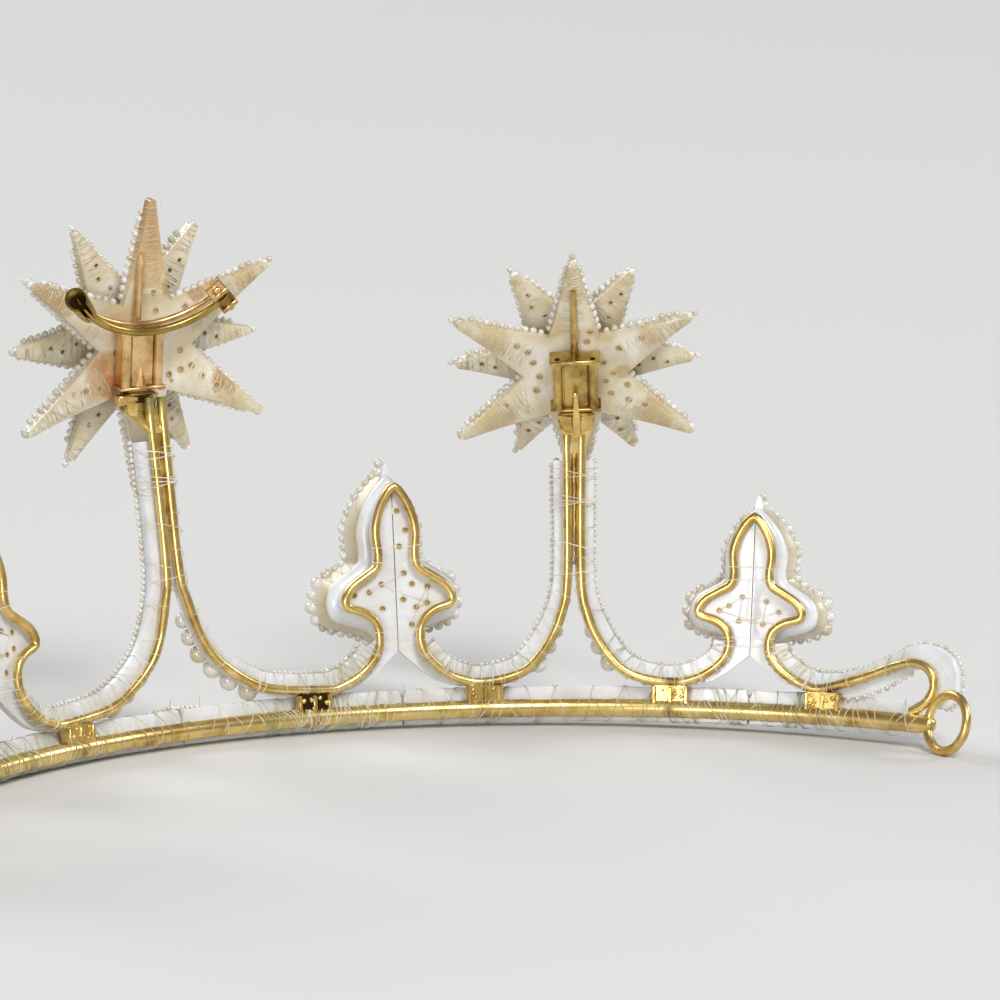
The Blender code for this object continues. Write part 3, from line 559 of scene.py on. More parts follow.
def mother_of_pearl(name, pale, warm, stains=()):
    """Polished nacre: layered shell that glows a little, with thin growth lines.

    Wear and painted shade run from fresh shell at 0 through yellowed and tan, partly stain and partly painted
    shade in hole floors and hollows, to the painted shade of a drilled hole's dark inside at 1.
    """
    finish, tree, shader, where = start_finish(name, {
        "Roughness": 0.3, "IOR": 1.53, "Subsurface Weight": 0.12, "Subsurface Radius": (1.0, 0.85, 0.7),
        "Subsurface Scale": 0.6 * MM, "Coat Weight": 0.35, "Coat Roughness": 0.18})
    # clouds in the shell are 4 mm across, its lustre changes every 1.5 mm
    cloud = noise(tree, where, 4.0, Detail=4.0)
    lustre = noise(tree, where, 1.5, Detail=3.0, Distortion=1.5)
    # growth lines are 0.25 mm apart
    lines = add_node(tree, "ShaderNodeTexWave", {
        "Scale": 1 / (4 * 0.25 * MM), "Distortion": 9.0, "Detail": 3.0, "Detail Scale": 0.4,
        "bands_direction": "DIAGONAL"}, {"Vector": where})
    shell = tint(tree, pale, warm, ramp(tree, cloud, 0.35, 0.68))
    shell = tint(tree, shell, "#EAD4D4", ramp(tree, lustre, 0.52, 0.75, 0.5))
    shell = tint(tree, shell, "#CFDDD6", ramp(tree, lustre, 0.45, 0.25, 0.45))
    for spot, reach, code, strength in stains:
        far = add_node(tree, "ShaderNodeVectorMath", {
            "operation": "DISTANCE", 1: tuple(value * MM for value in spot)}, {0: where})
        near = add_node(tree, "ShaderNodeMapRange", {
            "From Min": reach * MM, "From Max": 0.3 * reach * MM, "To Max": 0.75,
            "interpolation_type": "SMOOTHSTEP"}, {"Value": far.outputs["Value"]})
        ragged = work_out(tree, "ADD", near.outputs["Result"], lustre)
        shell = tint(tree, shell, code, ramp(tree, ragged, 0.66, 1.05, strength))
    worn_and_shaded = wear_and_shade_of(tree)
    # yellowed and tan are stain and partly painted shade; the dark brown is painted shade inside a drilled
    # hole
    for low, high, code in ((0.0, 0.3, "#CDBB8E"), (0.3, 0.62, "#A08049"), (0.7, 1.0, "#2A2013")):
        shell = tint(tree, shell, code, ramp(tree, worn_and_shaded, low, high))
    tree.links.new(shell, shader.inputs["Base Color"])
    relief(tree, shader, lines.outputs["Fac"], 0.25, 0.03)
    return finish


nacre = mother_of_pearl("polished_mother_of_pearl", "#EBEFF5", "#DAD9D6")
for side, hand in ((-1, "left"), (1, "right")):
    for number in range(3):
        start, end = STRIP_ENDS[2 * number], STRIP_ENDS[2 * number + 1]
        steps = round((end - start) / 1.2)
        rings = []
        for step in range(steps + 1):
            share = step / steps
            if step in (1, steps - 1):
                share = 0.3 / (end - start) if step == 1 else 1.0 - 0.25 / (end - start)
            s = side * (start + (end - start) * share)
            top = STRIP_TOP + 0.05 * sin(s * 0.9) - (0.9 if step in (0, steps) else 0.0)
            back, front, cut = STRIP_BACK, STRIP_BACK + STRIP_THICK, 0.14
            rings.append([on_band(s, h, out) for h, out in (
                (STRIP_LOW, back + cut), (STRIP_LOW + cut, back), (top - cut, back), (top, back + cut),
                (top, front - cut), (top - cut, front), (STRIP_LOW + cut, front), (STRIP_LOW, front - cut))])
        make_piece(f"shell_rail_{hand}_{number + 1}", [loft(rings)], nacre, "frame",
                   (f"rail_strip_{hand}_{number + 1}",))

# Narrow curved slips of the same shell follow the wires round each bay, on the
# bay's side of them, from the posts down to the blocks and up beside the leaves.
SLIP_NEAR = 0.5
SLIP_FAR = 2.0
SLIP_BACK = 0.85
SLIP_FRONT = 2.4
WAIST_H = 8.4
SCROLL_HEAD = ((88.0, 2.0), (90.0, 2.5), (91.6, 3.0), (92.0, 2.6))


def bay_curves():
    """The stretch of wire behind each slip, from the middle outward."""
    start, rising, falling, finish = inner_wire()
    high_top, low_top = WEDGE_FOOT["centre"] - 0.8, WEDGE_FOOT["right"] - 0.8
    first = [(start[0][0], high_top)] + start[1:] + [p for p in rising[:6] if p[1] <= WAIST_H]
    second = [p for p in falling[-6:] if p[1] <= WAIST_H] + finish[:-1] + [(finish[-1][0], low_top)]
    start, rising, falling, finish = outer_wire()
    third = [(start[0][0], low_top)] + start[1:] + [p for p in rising[:6] if p[1] <= WAIST_H]
    fourth = [p for p in falling[-6:] if p[1] <= WAIST_H] + finish[:-1]
    return [even_curve(points, 0.8) for points in (first, second, third, fourth)]


def scroll_drop(s):
    """How far the scroll's slip has crossed to the lower side of its wire, 0 to 1."""
    return max(0.0, min(1.0, (s - 78.0) / 3.0, (90.0 - s) / 5.0))


def slip_frames(curve):
    """For each point of a curve: the point, the way into the bay, and the slip's breadth."""
    frames = []
    for number, (s, h) in enumerate(curve):
        before, after = curve[max(number - 1, 0)], curve[min(number + 1, len(curve) - 1)]
        length = hypot(after[0] - before[0], after[1] - before[1])
        inward = (-(after[1] - before[1]) / length, (after[0] - before[0]) / length)
        reach = SLIP_FAR - 0.5 * min(1.0, max(0.0, (h - 9.0) / 6.0)) - 0.7 * scroll_drop(s)
        for (low_s, low), (high_s, high) in zip(SCROLL_HEAD, SCROLL_HEAD[1:]):
            if low_s <= s <= high_s:
                reach = low + (high - low) * (s - low_s) / (high_s - low_s)
        frames.append(((s, h), inward, reach))
    return frames


slips = {}
for side, hand in ((-1, "left"), (1, "right")):
    for number, curve in enumerate(bay_curves(), start=1):
        frames = slip_frames(curve)
        if number == 4:
            for last, share in enumerate((0.3, 0.68, 0.9)):
                point, inward, reach = frames[-1 - last]
                frames[-1 - last] = (point, inward, SLIP_NEAR + (reach - SLIP_NEAR) * share)
        slips[side, number] = frames
        rings = []
        for (s, h), inward, reach in frames:
            middle, half = (SLIP_NEAR + reach) / 2, (reach - SLIP_NEAR) / 2
            foot = (-0.66 - 1.2 * scroll_drop(s) - middle) / half
            section = ((foot, 0.14), (foot, 0.0), (0.85, 0.0), (1.0, 0.15), (1.0, 0.62),
                       (0.85, 0.85), (0.5, 1.0), (-0.5, 1.0), (-0.85, 0.85), (-1.0, 0.16))
            rings.append([on_band(side * (s + inward[0] * (middle + half * a)),
                                  h + inward[1] * (middle + half * a),
                                  SLIP_BACK + (SLIP_FRONT - SLIP_BACK) * b) for a, b in section])
        make_piece(f"shell_slip_{hand}_{number}", [loft(rings)], nacre, "frame",
                   (f"bay_strip_{hand}_{number}",))

# The leaves: each has a flat drilled plate of shell in two halves against the wire,
# and before it a larger carved leaf whose lobes flare forward, yellowed on the inside, a tone that is partly
# painted shade of the hollow.
LEAF_LEGS = ((8.0, 3.0), (5.9, 3.9), (4.2, 5.2), (3.1, 6.8), (2.4, 8.2))
LEAF_FORK = ((0.0, 7.3), (1.3, 6.1), (2.7, 4.8), (4.4, 3.6), (6.2, 2.95), (7.7, 2.75))
LEAF_NOTCH = 9.4
LEAF_ROWS = (
    (1.9, 9.1, 1.8, 8.2), (2.8, 10.7, 3.6, 9.4), (4.2, 11.7, 5.6, 9.9), (6.2, 12.3, 7.5, 10.9),
    (6.6, 13.5, 8.2, 13.2), (5.8, 15.0, 7.5, 15.6), (4.1, 16.3, 5.6, 17.1),
    (2.7, 17.4, 4.3, 18.1), (2.4, 19.0, 4.1, 19.6), (2.6, 21.3, 4.2, 21.8),
    (2.1, 23.7, 3.4, 24.4), (1.2, 25.7, 1.9, 26.7), (0.25, 27.2, 0.3, 28.4))
LEAF_HOLES = {
    "inner": ((-3.1, 22.7), (0.5, 23.8), (1.4, 21.5), (0.6, 19.6), (1.0, 16.4), (-1.7, 15.2),
              (1.9, 15.1), (3.7, 14.7), (-3.2, 14.3), (-5.0, 14.0), (0.8, 13.3), (3.6, 12.8),
              (2.3, 12.3), (-1.7, 12.3), (1.7, 10.3)),
    "outer": ((-1.1, 15.4), (-2.6, 14.1), (-3.7, 13.4), (-1.4, 12.0), (1.7, 14.9), (3.2, 13.5),
              (1.4, 11.7))}
LEAF_SHEET = 0.9
HOLE_R = 0.3


def inside(point, outline):
    """Whether a flat point lies within an outline."""
    hit = False
    for (x0, y0), (x1, y1) in zip(outline, outline[1:] + outline[:1]):
        if (y0 > point[1]) != (y1 > point[1]):
            if point[0] < x0 + (point[1] - y0) * (x1 - x0) / (y1 - y0):
                hit = not hit
    return hit


def edge_gap(point, outline):
    """The distance from a flat point to an outline."""
    best = 99.0
    for (x0, y0), (x1, y1) in zip(outline, outline[1:] + outline[:1]):
        dx, dy = x1 - x0, y1 - y0
        t = max(0.0, min(1.0, ((point[0] - x0) * dx + (point[1] - y0) * dy) / (dx * dx + dy * dy)))
        best = min(best, hypot(point[0] - x0 - dx * t, point[1] - y0 - dy * t))
    return best


def drilled_sheet(outline, holes, grain, place, hole_r, deep, soiled=0.05, floor_tone=0.6):
    """A sheet of shell with drilled holes. place(u, v, depth) gives the point in space.

    Depth runs from 0 at the drilled face to 1 at the other face. Its edge is soiled, and
    so is each hole, whose closed floor has a tone of its own, partly stain and partly painted shade of the
    hole's depth.
    """
    flat = [Vector(point) for point in outline]
    rings = [list(range(len(outline)))]
    wear = [soiled] * len(outline)
    for u, v in holes:
        for reach, tone in ((hole_r, 0.34), (hole_r + 0.12, 0.15), (hole_r + 0.34, 0.02)):
            rings.append(list(range(len(flat), len(flat) + 12)))
            for turn in range(12):
                angle = 2 * pi * turn / 12
                flat.append(Vector((u + reach * cos(angle), v + reach * sin(angle))))
                wear.append(tone)
    low = [min(point[axis] for point in outline) for axis in (0, 1)]
    high = [max(point[axis] for point in outline) for axis in (0, 1)]
    u = low[0] + grain / 2
    while u < high[0]:
        v = low[1] + grain / 2
        while v < high[1]:
            if (inside((u, v), outline) and edge_gap((u, v), outline) > 0.4 * grain
                    and all(hypot(u - a, v - b) > hole_r + 0.55 for a, b in holes)):
                flat.append(Vector((u, v)))
                wear.append(soiled * exp(-edge_gap((u, v), outline) / 0.9))
            v += grain
        u += grain
    verts, _, faces, origins, _, sources = delaunay_2d_cdt(flat, [], rings, 1, 1e-5)
    points = [place(vert[0], vert[1], 0.0) for vert in verts]
    tones = [wear[origin[0]] if origin else 0.0 for origin in origins]
    kept = [list(face) for face, source in zip(faces, sources) if not any(
        ring > 0 and ring % 3 == 1 for ring in source)]
    where = {origin: number for number, origins_of in enumerate(origins) for origin in origins_of}
    edge = [where[index] for index in rings[0]]
    first = len(points)
    for number in edge:
        points.append(place(verts[number][0], verts[number][1], 1.0))
        tones.append(0.05)
    count = len(edge)
    for turn in range(count):
        there = (turn + 1) % count
        kept.append([edge[turn], edge[there], first + there, first + turn])
    kept.append([first + turn for turn in range(count)])
    # each hole is closed by a floor whose tone is partly stain and partly painted shade of the hole's depth
    for ring in rings[1::3]:
        rim = [where[index] for index in ring]
        floor = len(points)
        for number in rim:
            points.append(place(verts[number][0], verts[number][1], deep))
            tones.append(floor_tone)
        for turn in range(12):
            there = (turn + 1) % 12
            kept.append([rim[turn], rim[there], floor + there, floor + turn])
        kept.append([floor + turn for turn in range(12)])
    return points, kept, tones


for which in LEAF_S:
    halves = [leaf_row(which, half, h) for half, h in LEAF_LEGS + tuple(row[:2] for row in LEAF_ROWS)]
    inner_leg = [leaf_row(which, half, h) for half, h in LEAF_FORK]
    edge_line = rounded(halves, 4)
    for side, hand in ((-1, "left"), (1, "right")):
        pieces = []
        for part in (-1, 1):
            outline = [(part * max(half, 0.06), h) for half, h in edge_line]
            outline += [(part * 0.045, edge_line[-1][1])]
            outline += [(part * max(half, 0.045), h) for half, h in inner_leg]
            holes = [(u, leaf_row(which, 0.0, v)[1]) for u, v in LEAF_HOLES[which]]
            holes = [(side * -u, v) for u, v in holes]
            holes = [hole for hole in holes if hole[0] * part > 0.3 and inside(hole, outline)
                     and edge_gap(hole, outline) > 0.38]

            def on_leaf(u, v, depth):
                leg = max(0.0, min(1.0, (9.5 - v) / 2.5))
                return on_band(side * (LEAF_S[which] + u), v, SLIP_BACK + 0.2 * leg + LEAF_SHEET * depth)

            pieces.append(drilled_sheet(outline, holes, 0.9, on_leaf, HOLE_R, 0.32, 0.04, 0.46))
        make_piece(f"shell_leaf_{hand}_{which}", pieces, nacre, "frame",
                   (f"fleur_plate_{hand}_{which}",))

LEAF_BACK = SLIP_BACK + LEAF_SHEET + 0.3
LEAF_EDGE = 5.8
LEAF_STAGES = (
    # share of the way to the edge, out, mark of wear and painted shade (tan in the hollow is partly painted
    # shade)
    (0.0, LEAF_BACK, 0.0), (0.3, LEAF_BACK + 0.12, 0.0), (0.58, LEAF_BACK + 0.55, 0.0),
    (0.68, LEAF_BACK + 0.95, 0.03), (0.64, LEAF_BACK + 1.15, 0.1), (0.36, LEAF_BACK + 1.3, 0.28),
    (0.4, LEAF_BACK + 1.9, 0.3), (0.62, LEAF_BACK + 2.7, 0.24), (0.86, LEAF_EDGE - 0.1, 0.16),
    (0.98, LEAF_EDGE + 0.25, 0.1), (0.94, LEAF_EDGE + 0.6, 0.02), (0.6, LEAF_EDGE + 0.55, 0.0),
    (0.3, LEAF_EDGE + 0.9, 0.0))


def leaf_edge(which):
    """Rows of (plate half, plate h, edge half, edge h), drawn smooth."""
    inner = rounded([(row[0], row[1]) for row in LEAF_ROWS], 3)
    outer = rounded([(row[2], row[3]) for row in LEAF_ROWS], 3)
    return [leaf_row(which, a, b) + leaf_row(which, c, d) for (a, b), (c, d) in zip(inner, outer)]


def leaf_relief(which, side):
    """The carved leaf: rings that go forward and outward, closed by a spine at each end."""
    rows = leaf_edge(which)
    notch = leaf_row(which, 0.0, LEAF_NOTCH)[1]
    around = [(1, row) for row in rows] + [(-1, row) for row in reversed(rows)]
    around.append((0, (0.0, notch, 0.0, notch + 0.3)))
    points, wear = [], []
    for share, out, tone in LEAF_STAGES:
        for sign, (half_in, h_in, half_out, h_out) in around:
            half = half_in + (half_out - half_in) * share
            h = h_in + (h_out - h_in) * share
            points.append(on_band(side * (LEAF_S[which] + sign * half), h, out))
            wear.append(tone)
    count = len(around)
    faces = quads(len(LEAF_STAGES) - 1, count)
    half_count = len(rows)
    for stage, out in ((0, LEAF_BACK), (len(LEAF_STAGES) - 1, LEAF_EDGE + 1.25)):
        share, rim, _ = LEAF_STAGES[stage]
        low, last = stage * count, stage * count + 2 * half_count - 1
        spine = len(points)
        for row in range(half_count):
            h = rows[row][1] + (rows[row][3] - rows[row][1]) * share
            points.append(on_band(side * LEAF_S[which], max(h, notch + 0.1 + 0.05 * row),
                                  out if row < half_count - 1 else rim))
            wear.append(0.0)
        for row in range(half_count - 1):
            faces.append((low + row, low + row + 1, spine + row + 1, spine + row))
            faces.append((last - row, last - row - 1, spine + row + 1, spine + row))
        faces.append((low, spine, low + count - 1))
        faces.append((low + count - 1, spine, last))
        faces.append((low + half_count - 1, spine + half_count - 1, low + half_count))
    return points, faces, wear


for which in LEAF_S:
    for side, hand in ((-1, "left"), (1, "right")):
        make_piece(f"carved_leaf_{hand}_{which}", [leaf_relief(which, side)], nacre, "frame",
                   (f"fleur_front_{hand}_{which}",))

# Each star is two cut plates of shell, six long rays behind and six short ones before
# them on a hub. The backs are yellowed, stained and drilled for the sewing of the pearls.
STAR_RAYS = {"left": (15.6, 13.7), "centre": (17.6, 15.3), "right": (15.6, 13.7)}
NOTCH_R = 6.1
TIP_LONG = 0.42
TIP_SHORT = 0.5
PLATE_HALF = 0.5
STAR_GAP = 3.2
TIP_BACK = 0.5
HUB_R = 3.4
SIDE_STAR_HOLES = (
    (7.1, 7.0), (5.1, 6.8), (6.8, 4.7), (5.5, 3.7), (2.4, 6.3), (-1.9, 6.2), (-1.5, 4.7),
    (-3.7, 5.5), (-5.4, 5.7), (-5.3, 3.9), (4.9, 2.0), (6.5, -1.0), (4.2, 0.0), (4.6, -1.9),
    (8.3, -3.6), (-3.4, 1.7), (-4.6, 0.2), (-3.6, -0.9), (-6.2, -1.4), (-4.2, -2.6), (-6.3, -3.3),
    (-8.2, -4.0), (-8.0, 5.4))
MIDDLE_STAR_HOLES = (
    (4.1, 5.8), (-0.6, 6.6), (-2.9, 5.5), (-5.0, 4.6), (-1.2, 4.3), (3.9, -0.3), (3.9, -2.2),
    (-4.6, -0.7), (-6.0, -2.6), (-4.7, -3.0), (-7.3, -3.9), (-9.3, -5.2), (-3.2, -3.5),
    (6.5, 3.9), (8.4, 4.7), (6.2, -4.3), (8.0, -4.4))


def star_outline(tip_r, tip_half, phase):
    """Flat outline of six rays with slightly hollow sides and round tips."""
    outline = []
    for ray in range(6):
        angle = phase + 2 * pi * ray / 6
        spoke, across = (cos(angle), sin(angle)), (-sin(angle), cos(angle))
        base = NOTCH_R * cos(pi / 6)
        root = NOTCH_R * sin(pi / 6)
        rows = []
        for step in range(8):
            t = step / 7
            rows.append((base + (tip_r - base) * t, root + (tip_half - root) * t - 0.16 * sin(pi * t)))
        side = [(r, -half) for r, half in rows]
        side += [(tip_r + tip_half * 0.6 * sin(bend), -tip_half * cos(bend))
                 for bend in (0.5, 1.0, pi / 2, pi - 1.0, pi - 0.5)]
        side += [(r, half) for r, half in reversed(rows)][:-1]
        outline += [(spoke[0] * r + across[0] * w, spoke[1] * r + across[1] * w) for r, w in side]
    return outline


def over_post(u, v, phase):
    """Whether a point is on the long ray that slides along the post, whose back is flat."""
    return phase == pi / 2 and v < -4.0 and abs(u) < 0.6 * abs(v)


def ray_dome(u, v, phase, tip_r, height):
    """How far a ray's back swells above the plate at a flat point."""
    radius = hypot(u, v)
    angle = (atan2(v, u) - phase + pi / 6) % (pi / 3) - pi / 6
    along, across = radius * cos(angle), radius * sin(angle)
    if along < 5.0 or over_post(u, v, phase):
        return 0.0
    half = 3.05 + (0.45 - 3.05) * min(1.0, (along - 5.28) / (tip_r - 5.28)) + 0.2
    rise = min(1.0, (along - 5.0) / 2.0)
    return height * rise * max(0.0, 1.0 - (across / half) ** 2)


# Stains on the stars' backs, the middle star's and a side star's.
STAINS = {
    # star's own x and z, reach, colour, strength
    "centre": (
        (-0.3, 16.4, 6.4, "#B07A34", 1.0), (-1.0, 12.4, 4.6, "#B98746", 0.95),
        (0.4, 9.6, 3.8, "#CFA667", 0.8), (5.2, -3.0, 4.4, "#CB9C62", 0.85),
        (4.8, -4.2, 2.0, "#B4603C", 0.6), (6.0, -1.6, 1.5, "#BC6A44", 0.55),
        (12.6, 7.2, 4.8, "#AB8050", 0.9), (-3.4, 7.2, 2.2, "#9A6A2C", 0.9),
        (-6.4, 6.4, 1.9, "#A86B2C", 0.8), (-10.6, -4.4, 2.8, "#A8762E", 0.9),
        (-12.8, 7.6, 2.4, "#C69C5C", 0.6), (3.8, 3.2, 3.4, "#DDBE8C", 0.6)),
    "side": (
        (-3.6, 6.4, 2.6, "#C0A568", 0.6), (-8.6, 5.4, 2.0, "#BE9C58", 0.6),
        (-5.8, 0.4, 1.5, "#B08C4E", 0.6), (2.6, 7.4, 3.0, "#CBB27A", 0.6),
        (9.6, -5.4, 3.6, "#C4A669", 0.7), (-9.5, -5.4, 3.8, "#BA9450", 0.75),
        (0.0, 13.0, 4.0, "#C6AB72", 0.7), (9.8, 5.8, 3.2, "#CBB582", 0.7))}
yellow_shell = {}
for which in STAR_S:
    stand = star_place(which)
    flip = -1 if which == "right" else 1
    rows = STAINS["centre" if which == "centre" else "side"]
    spots = [(tuple(stand @ Vector((flip * x, PLATE_HALF, z))), reach, code, strength)
             for x, z, reach, code, strength in rows]
    yellow_shell[which] = mother_of_pearl(
        f"yellowed_mother_of_pearl_{which}", "#EFEBE0", "#CFBD90", spots)
    long_r, short_r = STAR_RAYS[which]
    holes = [(flip * x, z) for x, z in (MIDDLE_STAR_HOLES if which == "centre" else SIDE_STAR_HOLES)]
    outline = star_outline(long_r, TIP_LONG, pi / 2)
    holes = [hole for hole in holes if inside(hole, outline) and edge_gap(hole, outline) > 0.7]

    def on_plate(u, v, depth):
        bent = TIP_BACK * min(1.0, max(0.0, (hypot(u, v) - NOTCH_R) / (long_r - NOTCH_R)))
        bent *= 0.6 if over_post(u, v, pi / 2) else 1.0
        swell = ray_dome(u, v, pi / 2, long_r, 0.45) * (1.0 - depth)
        return stand @ Vector((u, PLATE_HALF - 2 * PLATE_HALF * depth + bent + swell, v))

    make_piece(f"long_rays_{which}", [drilled_sheet(outline, holes, 0.75, on_plate, 0.36, 0.28, 0.16, 0.32)],
               yellow_shell[which], f"star_{which}", (f"star_plate_{which}",))
    outline = star_outline(short_r, TIP_SHORT, 0.0)
    holes = [(u * r, v * r) for r, (u, v) in (
        (r, (cos(2 * pi * (ray + off) / 6), sin(2 * pi * (ray + off) / 6)))
        for ray in range(6) for r, off in ((7.6, 0.06), (9.4, -0.03), (11.0, 0.02)))]

    def on_front(u, v, depth):
        swell = ray_dome(u, v, 0.0, short_r, 0.4)
        back = PLATE_HALF - STAR_GAP
        face = back - 1.0 - 0.8 * max(0.0, 1.0 - hypot(u, v) / short_r)
        return stand @ Vector((u, (back + swell) * (1.0 - depth) + face * depth, v))

    front = drilled_sheet(outline, holes, 0.8, on_front, 0.25, 0.35, 0.16, 0.38)
    hub = [[stand @ Vector((HUB_R * cos(2 * pi * turn / 32), y, HUB_R * sin(2 * pi * turn / 32)))
            for turn in range(32)] for y in (PLATE_HALF - STAR_GAP - 0.3, -PLATE_HALF - 0.3)]
    make_piece(f"short_rays_{which}", [front, loft(hub, 0.1)], yellow_shell[which],
               f"star_{which}", (f"star_front_{which}",))

# The star's socket is a gilt box with a sunk back, a round tube down each side and
# thin lips above and below. A rib runs up the long ray over it to stiffen the plate.
TUBE_X = 2.1
LIP_HALF = 3.0
RIB_TOP = 11.2
aged_gilt = burnished_gilt("aged_silver_gilt", "#DABC72", "#8C6F3A")
rose_gilt = burnished_gilt("rose_gilt", "#F0CC92", "#AC8449")


def rod(start, end, radius, sides, wear=0.0):
    """A round bar between two points."""
    axis = (end - start).normalized()
    front = axis.orthogonal().normalized()
    return tube([start, end], [front, front], [radius, radius], sides, [wear, wear])


for which in STAR_S:
    stand = socket_place(which)
    in_star = by_stand(stand)
    shapes = [block(low, high, cut, in_star, wear) for low, high, cut, wear in (
        ((-2.5, SOCKET_Y, SOCKET_LOW), (2.5, BOX_BACK - 0.35, SOCKET_TOP), 0.08, 0.12),
        ((-1.45, BOX_BACK - 0.6, SOCKET_LOW), (1.35, BOX_BACK - 0.12, SOCKET_TOP), 0.06, 0.0),
        ((-LIP_HALF, SOCKET_Y, SOCKET_TOP), (LIP_HALF, LIP_BACK, SOCKET_TOP + LIP), 0.14, 0.0),
        ((-LIP_HALF, SOCKET_Y, SOCKET_LOW - 0.35), (LIP_HALF, LIP_BACK, SOCKET_LOW), 0.1, 0.1),
        ((-LIP_HALF, SOCKET_Y + 0.1, SOCKET_LOW - LIP), (-2.2, LIP_BACK - 0.1, SOCKET_LOW), 0.1, 0.0))]
    for x in (-TUBE_X, TUBE_X):
        # each side gets its tube, and on top a thin disc marked 1.3 that turns soot-dark: painted shade in
        # the tube's open mouth
        for y, low, high, radius, sides, wear in (
                (BOX_BACK - 0.1, SOCKET_LOW, SOCKET_TOP + 0.1, 0.6, 20, 0.0),
                (BOX_BACK - 0.15, SOCKET_TOP + LIP, SOCKET_TOP + LIP + 0.012, 0.34, 14, 1.3)):
            shapes.append(rod(in_star(x, y, low), in_star(x, y, high), radius, sides, wear))
    centres = [in_star(0.0, SOCKET_Y + 0.3 + TIP_BACK * z / RIB_TOP, z)
               for z in (SOCKET_TOP, 5.0, 8.0, RIB_TOP)]
    back = stand.to_3x3() @ Vector((0.0, 1.0, 0.0))
    shapes.append(tube(centres, [back] * 4, [0.5, 0.46, 0.4, 0.3], 14))
    if which == "centre":
        shapes.append(drop(in_star(0.0, SOCKET_Y + 0.75, SOCKET_TOP + LIP + 0.5), 0.5))
        shapes.append(hull([in_star(x, y, SOCKET_LOW + z) for x, y, z in (
            (-0.85, BOX_BACK - 0.2, 0.0), (0.85, BOX_BACK - 0.2, 0.0), (0.0, BOX_BACK + 0.3, 0.0),
            (0.1, BOX_BACK - 0.2, 3.0))]))
    make_piece(f"gilt_socket_{which}", shapes, rose_gilt if which == "centre" else aged_gilt,
               f"star_{which}", (f"star_socket_{which}",))

# The brooch fitting of the middle star: a bowed gilt bar across its back, with a
# tube catch at one end and a riveted hinge at the other, and the pin between them.
BOW_HALF = 10.6
BOW_SAG = 5.6
BOW_TILT = radians(70.0)
BOW_Z = SOCKET_TOP + LIP + 0.65
PIN_OFF = 1.5
HINGE_X = -9.0
CATCH_X = 9.6
CATCH_R = 1.2
MOUTH_CUT = 0.3


def bow_point(x, off, cross=0.0, ahead=0.0):
    """A point by the bow, off it towards the head and across it, in space."""
    radius = (BOW_HALF ** 2 + BOW_SAG ** 2) / (2 * BOW_SAG)
    rise = radius - (radius ** 2 - x ** 2) ** 0.5
    bow = Vector((0.0, cos(BOW_TILT), sin(BOW_TILT)))
    away = Vector((0.0, sin(BOW_TILT), -cos(BOW_TILT)))
    slope = x / (radius ** 2 - x ** 2) ** 0.5
    forward = (Vector((1.0, 0.0, 0.0)) + bow * slope).normalized()
    side = forward.cross(away).normalized()
    place = Vector((x, BOX_BACK - 0.05, BOW_Z)) + bow * rise + away * off + side * cross + forward * ahead
    return socket_place("centre") @ place


def bow_wire(start, end, off, radii, sides, wear=0.0):
    """A wire bent along the bow, with one radius for each step of it."""
    steps = len(radii) - 1
    back = star_place("centre").to_3x3() @ Vector((0.0, sin(BOW_TILT), -cos(BOW_TILT)))
    centres = [bow_point(start + (end - start) * step / steps, off) for step in range(steps + 1)]
    return tube(centres, [back] * len(centres), radii, sides, [wear] * len(centres))


old_brass = burnished_gilt("worn_brass", "#C3A45A", "#857036")
bar = [bow_wire(HINGE_X, CATCH_X - 1.2, 0.0, [0.42] * 40, 14)]
catch_middle = CATCH_R + 0.42 - 0.15
CATCH_WALL = 0.2
CATCH_SECTIONS = (
    # along the tube, share of its radius
    (-2.2, 0.6), (-1.6, 0.78), (-0.8, 0.92), (0.6, 1.0), (1.7, 1.02), (1.9, 1.12), (2.15, 1.12), (2.2, 1.06))


def catch_ring(ahead, swell, wall):
    """A section of the catch's split tube, at its outside or a wall's depth inside."""
    radius = CATCH_R * swell - wall
    angles = [radians(27 + 306 * step / 30) for step in range(31)]
    return [bow_point(CATCH_X, catch_middle + cos(a) * radius, sin(a) * radius,
                      ahead - MOUTH_CUT * max(0.0, ahead) * (1.0 + cos(a))) for a in angles]


catch = [loft([catch_ring(ahead, swell, 0.0) + catch_ring(ahead, swell, CATCH_WALL)[::-1]
               for ahead, swell in CATCH_SECTIONS], 0.1)]
# a disc set inside the split tube, marked 1.3 so it turns soot-dark: painted shade in the catch's mouth
catch.append(rod(bow_point(CATCH_X, catch_middle, 0.0, 0.3), bow_point(CATCH_X, catch_middle, 0.0, 0.4),
                 CATCH_R * 0.75, 20, 1.3))
make_piece("brass_catch", catch, old_brass, "star_centre")


def by_hinge(cross, off, ahead):
    """A point by the hinge of the bow."""
    return bow_point(HINGE_X, off, cross, ahead)


bar.append(block((-1.55, -0.6, -1.1), (1.55, 0.5, 1.1), 0.1, by_hinge))
for low, high in ((-1.55, -0.9), (0.9, 1.55)):
    bar.append(block((low, 0.0, -1.1), (high, PIN_OFF + 0.7, 1.1), 0.12, by_hinge))
bar.append(rod(bow_point(HINGE_X, PIN_OFF, -1.75), bow_point(HINGE_X, PIN_OFF, 1.75), 0.4, 14, 0.2))
for cross in (-1.7, 1.7):
    bar.append(drop(bow_point(HINGE_X, PIN_OFF, cross), 0.5))
for x in (-TUBE_X, TUBE_X):
    stand = socket_place("centre")
    bar.append(rod(stand @ Vector((x, BOX_BACK - 0.05, SOCKET_TOP - 0.9)),
                   stand @ Vector((x, BOX_BACK - 0.05, BOW_Z + 0.35)), 0.16, 10))
make_piece("gilt_brooch_bar", bar, rose_gilt, "star_centre", ("brooch_bar",))
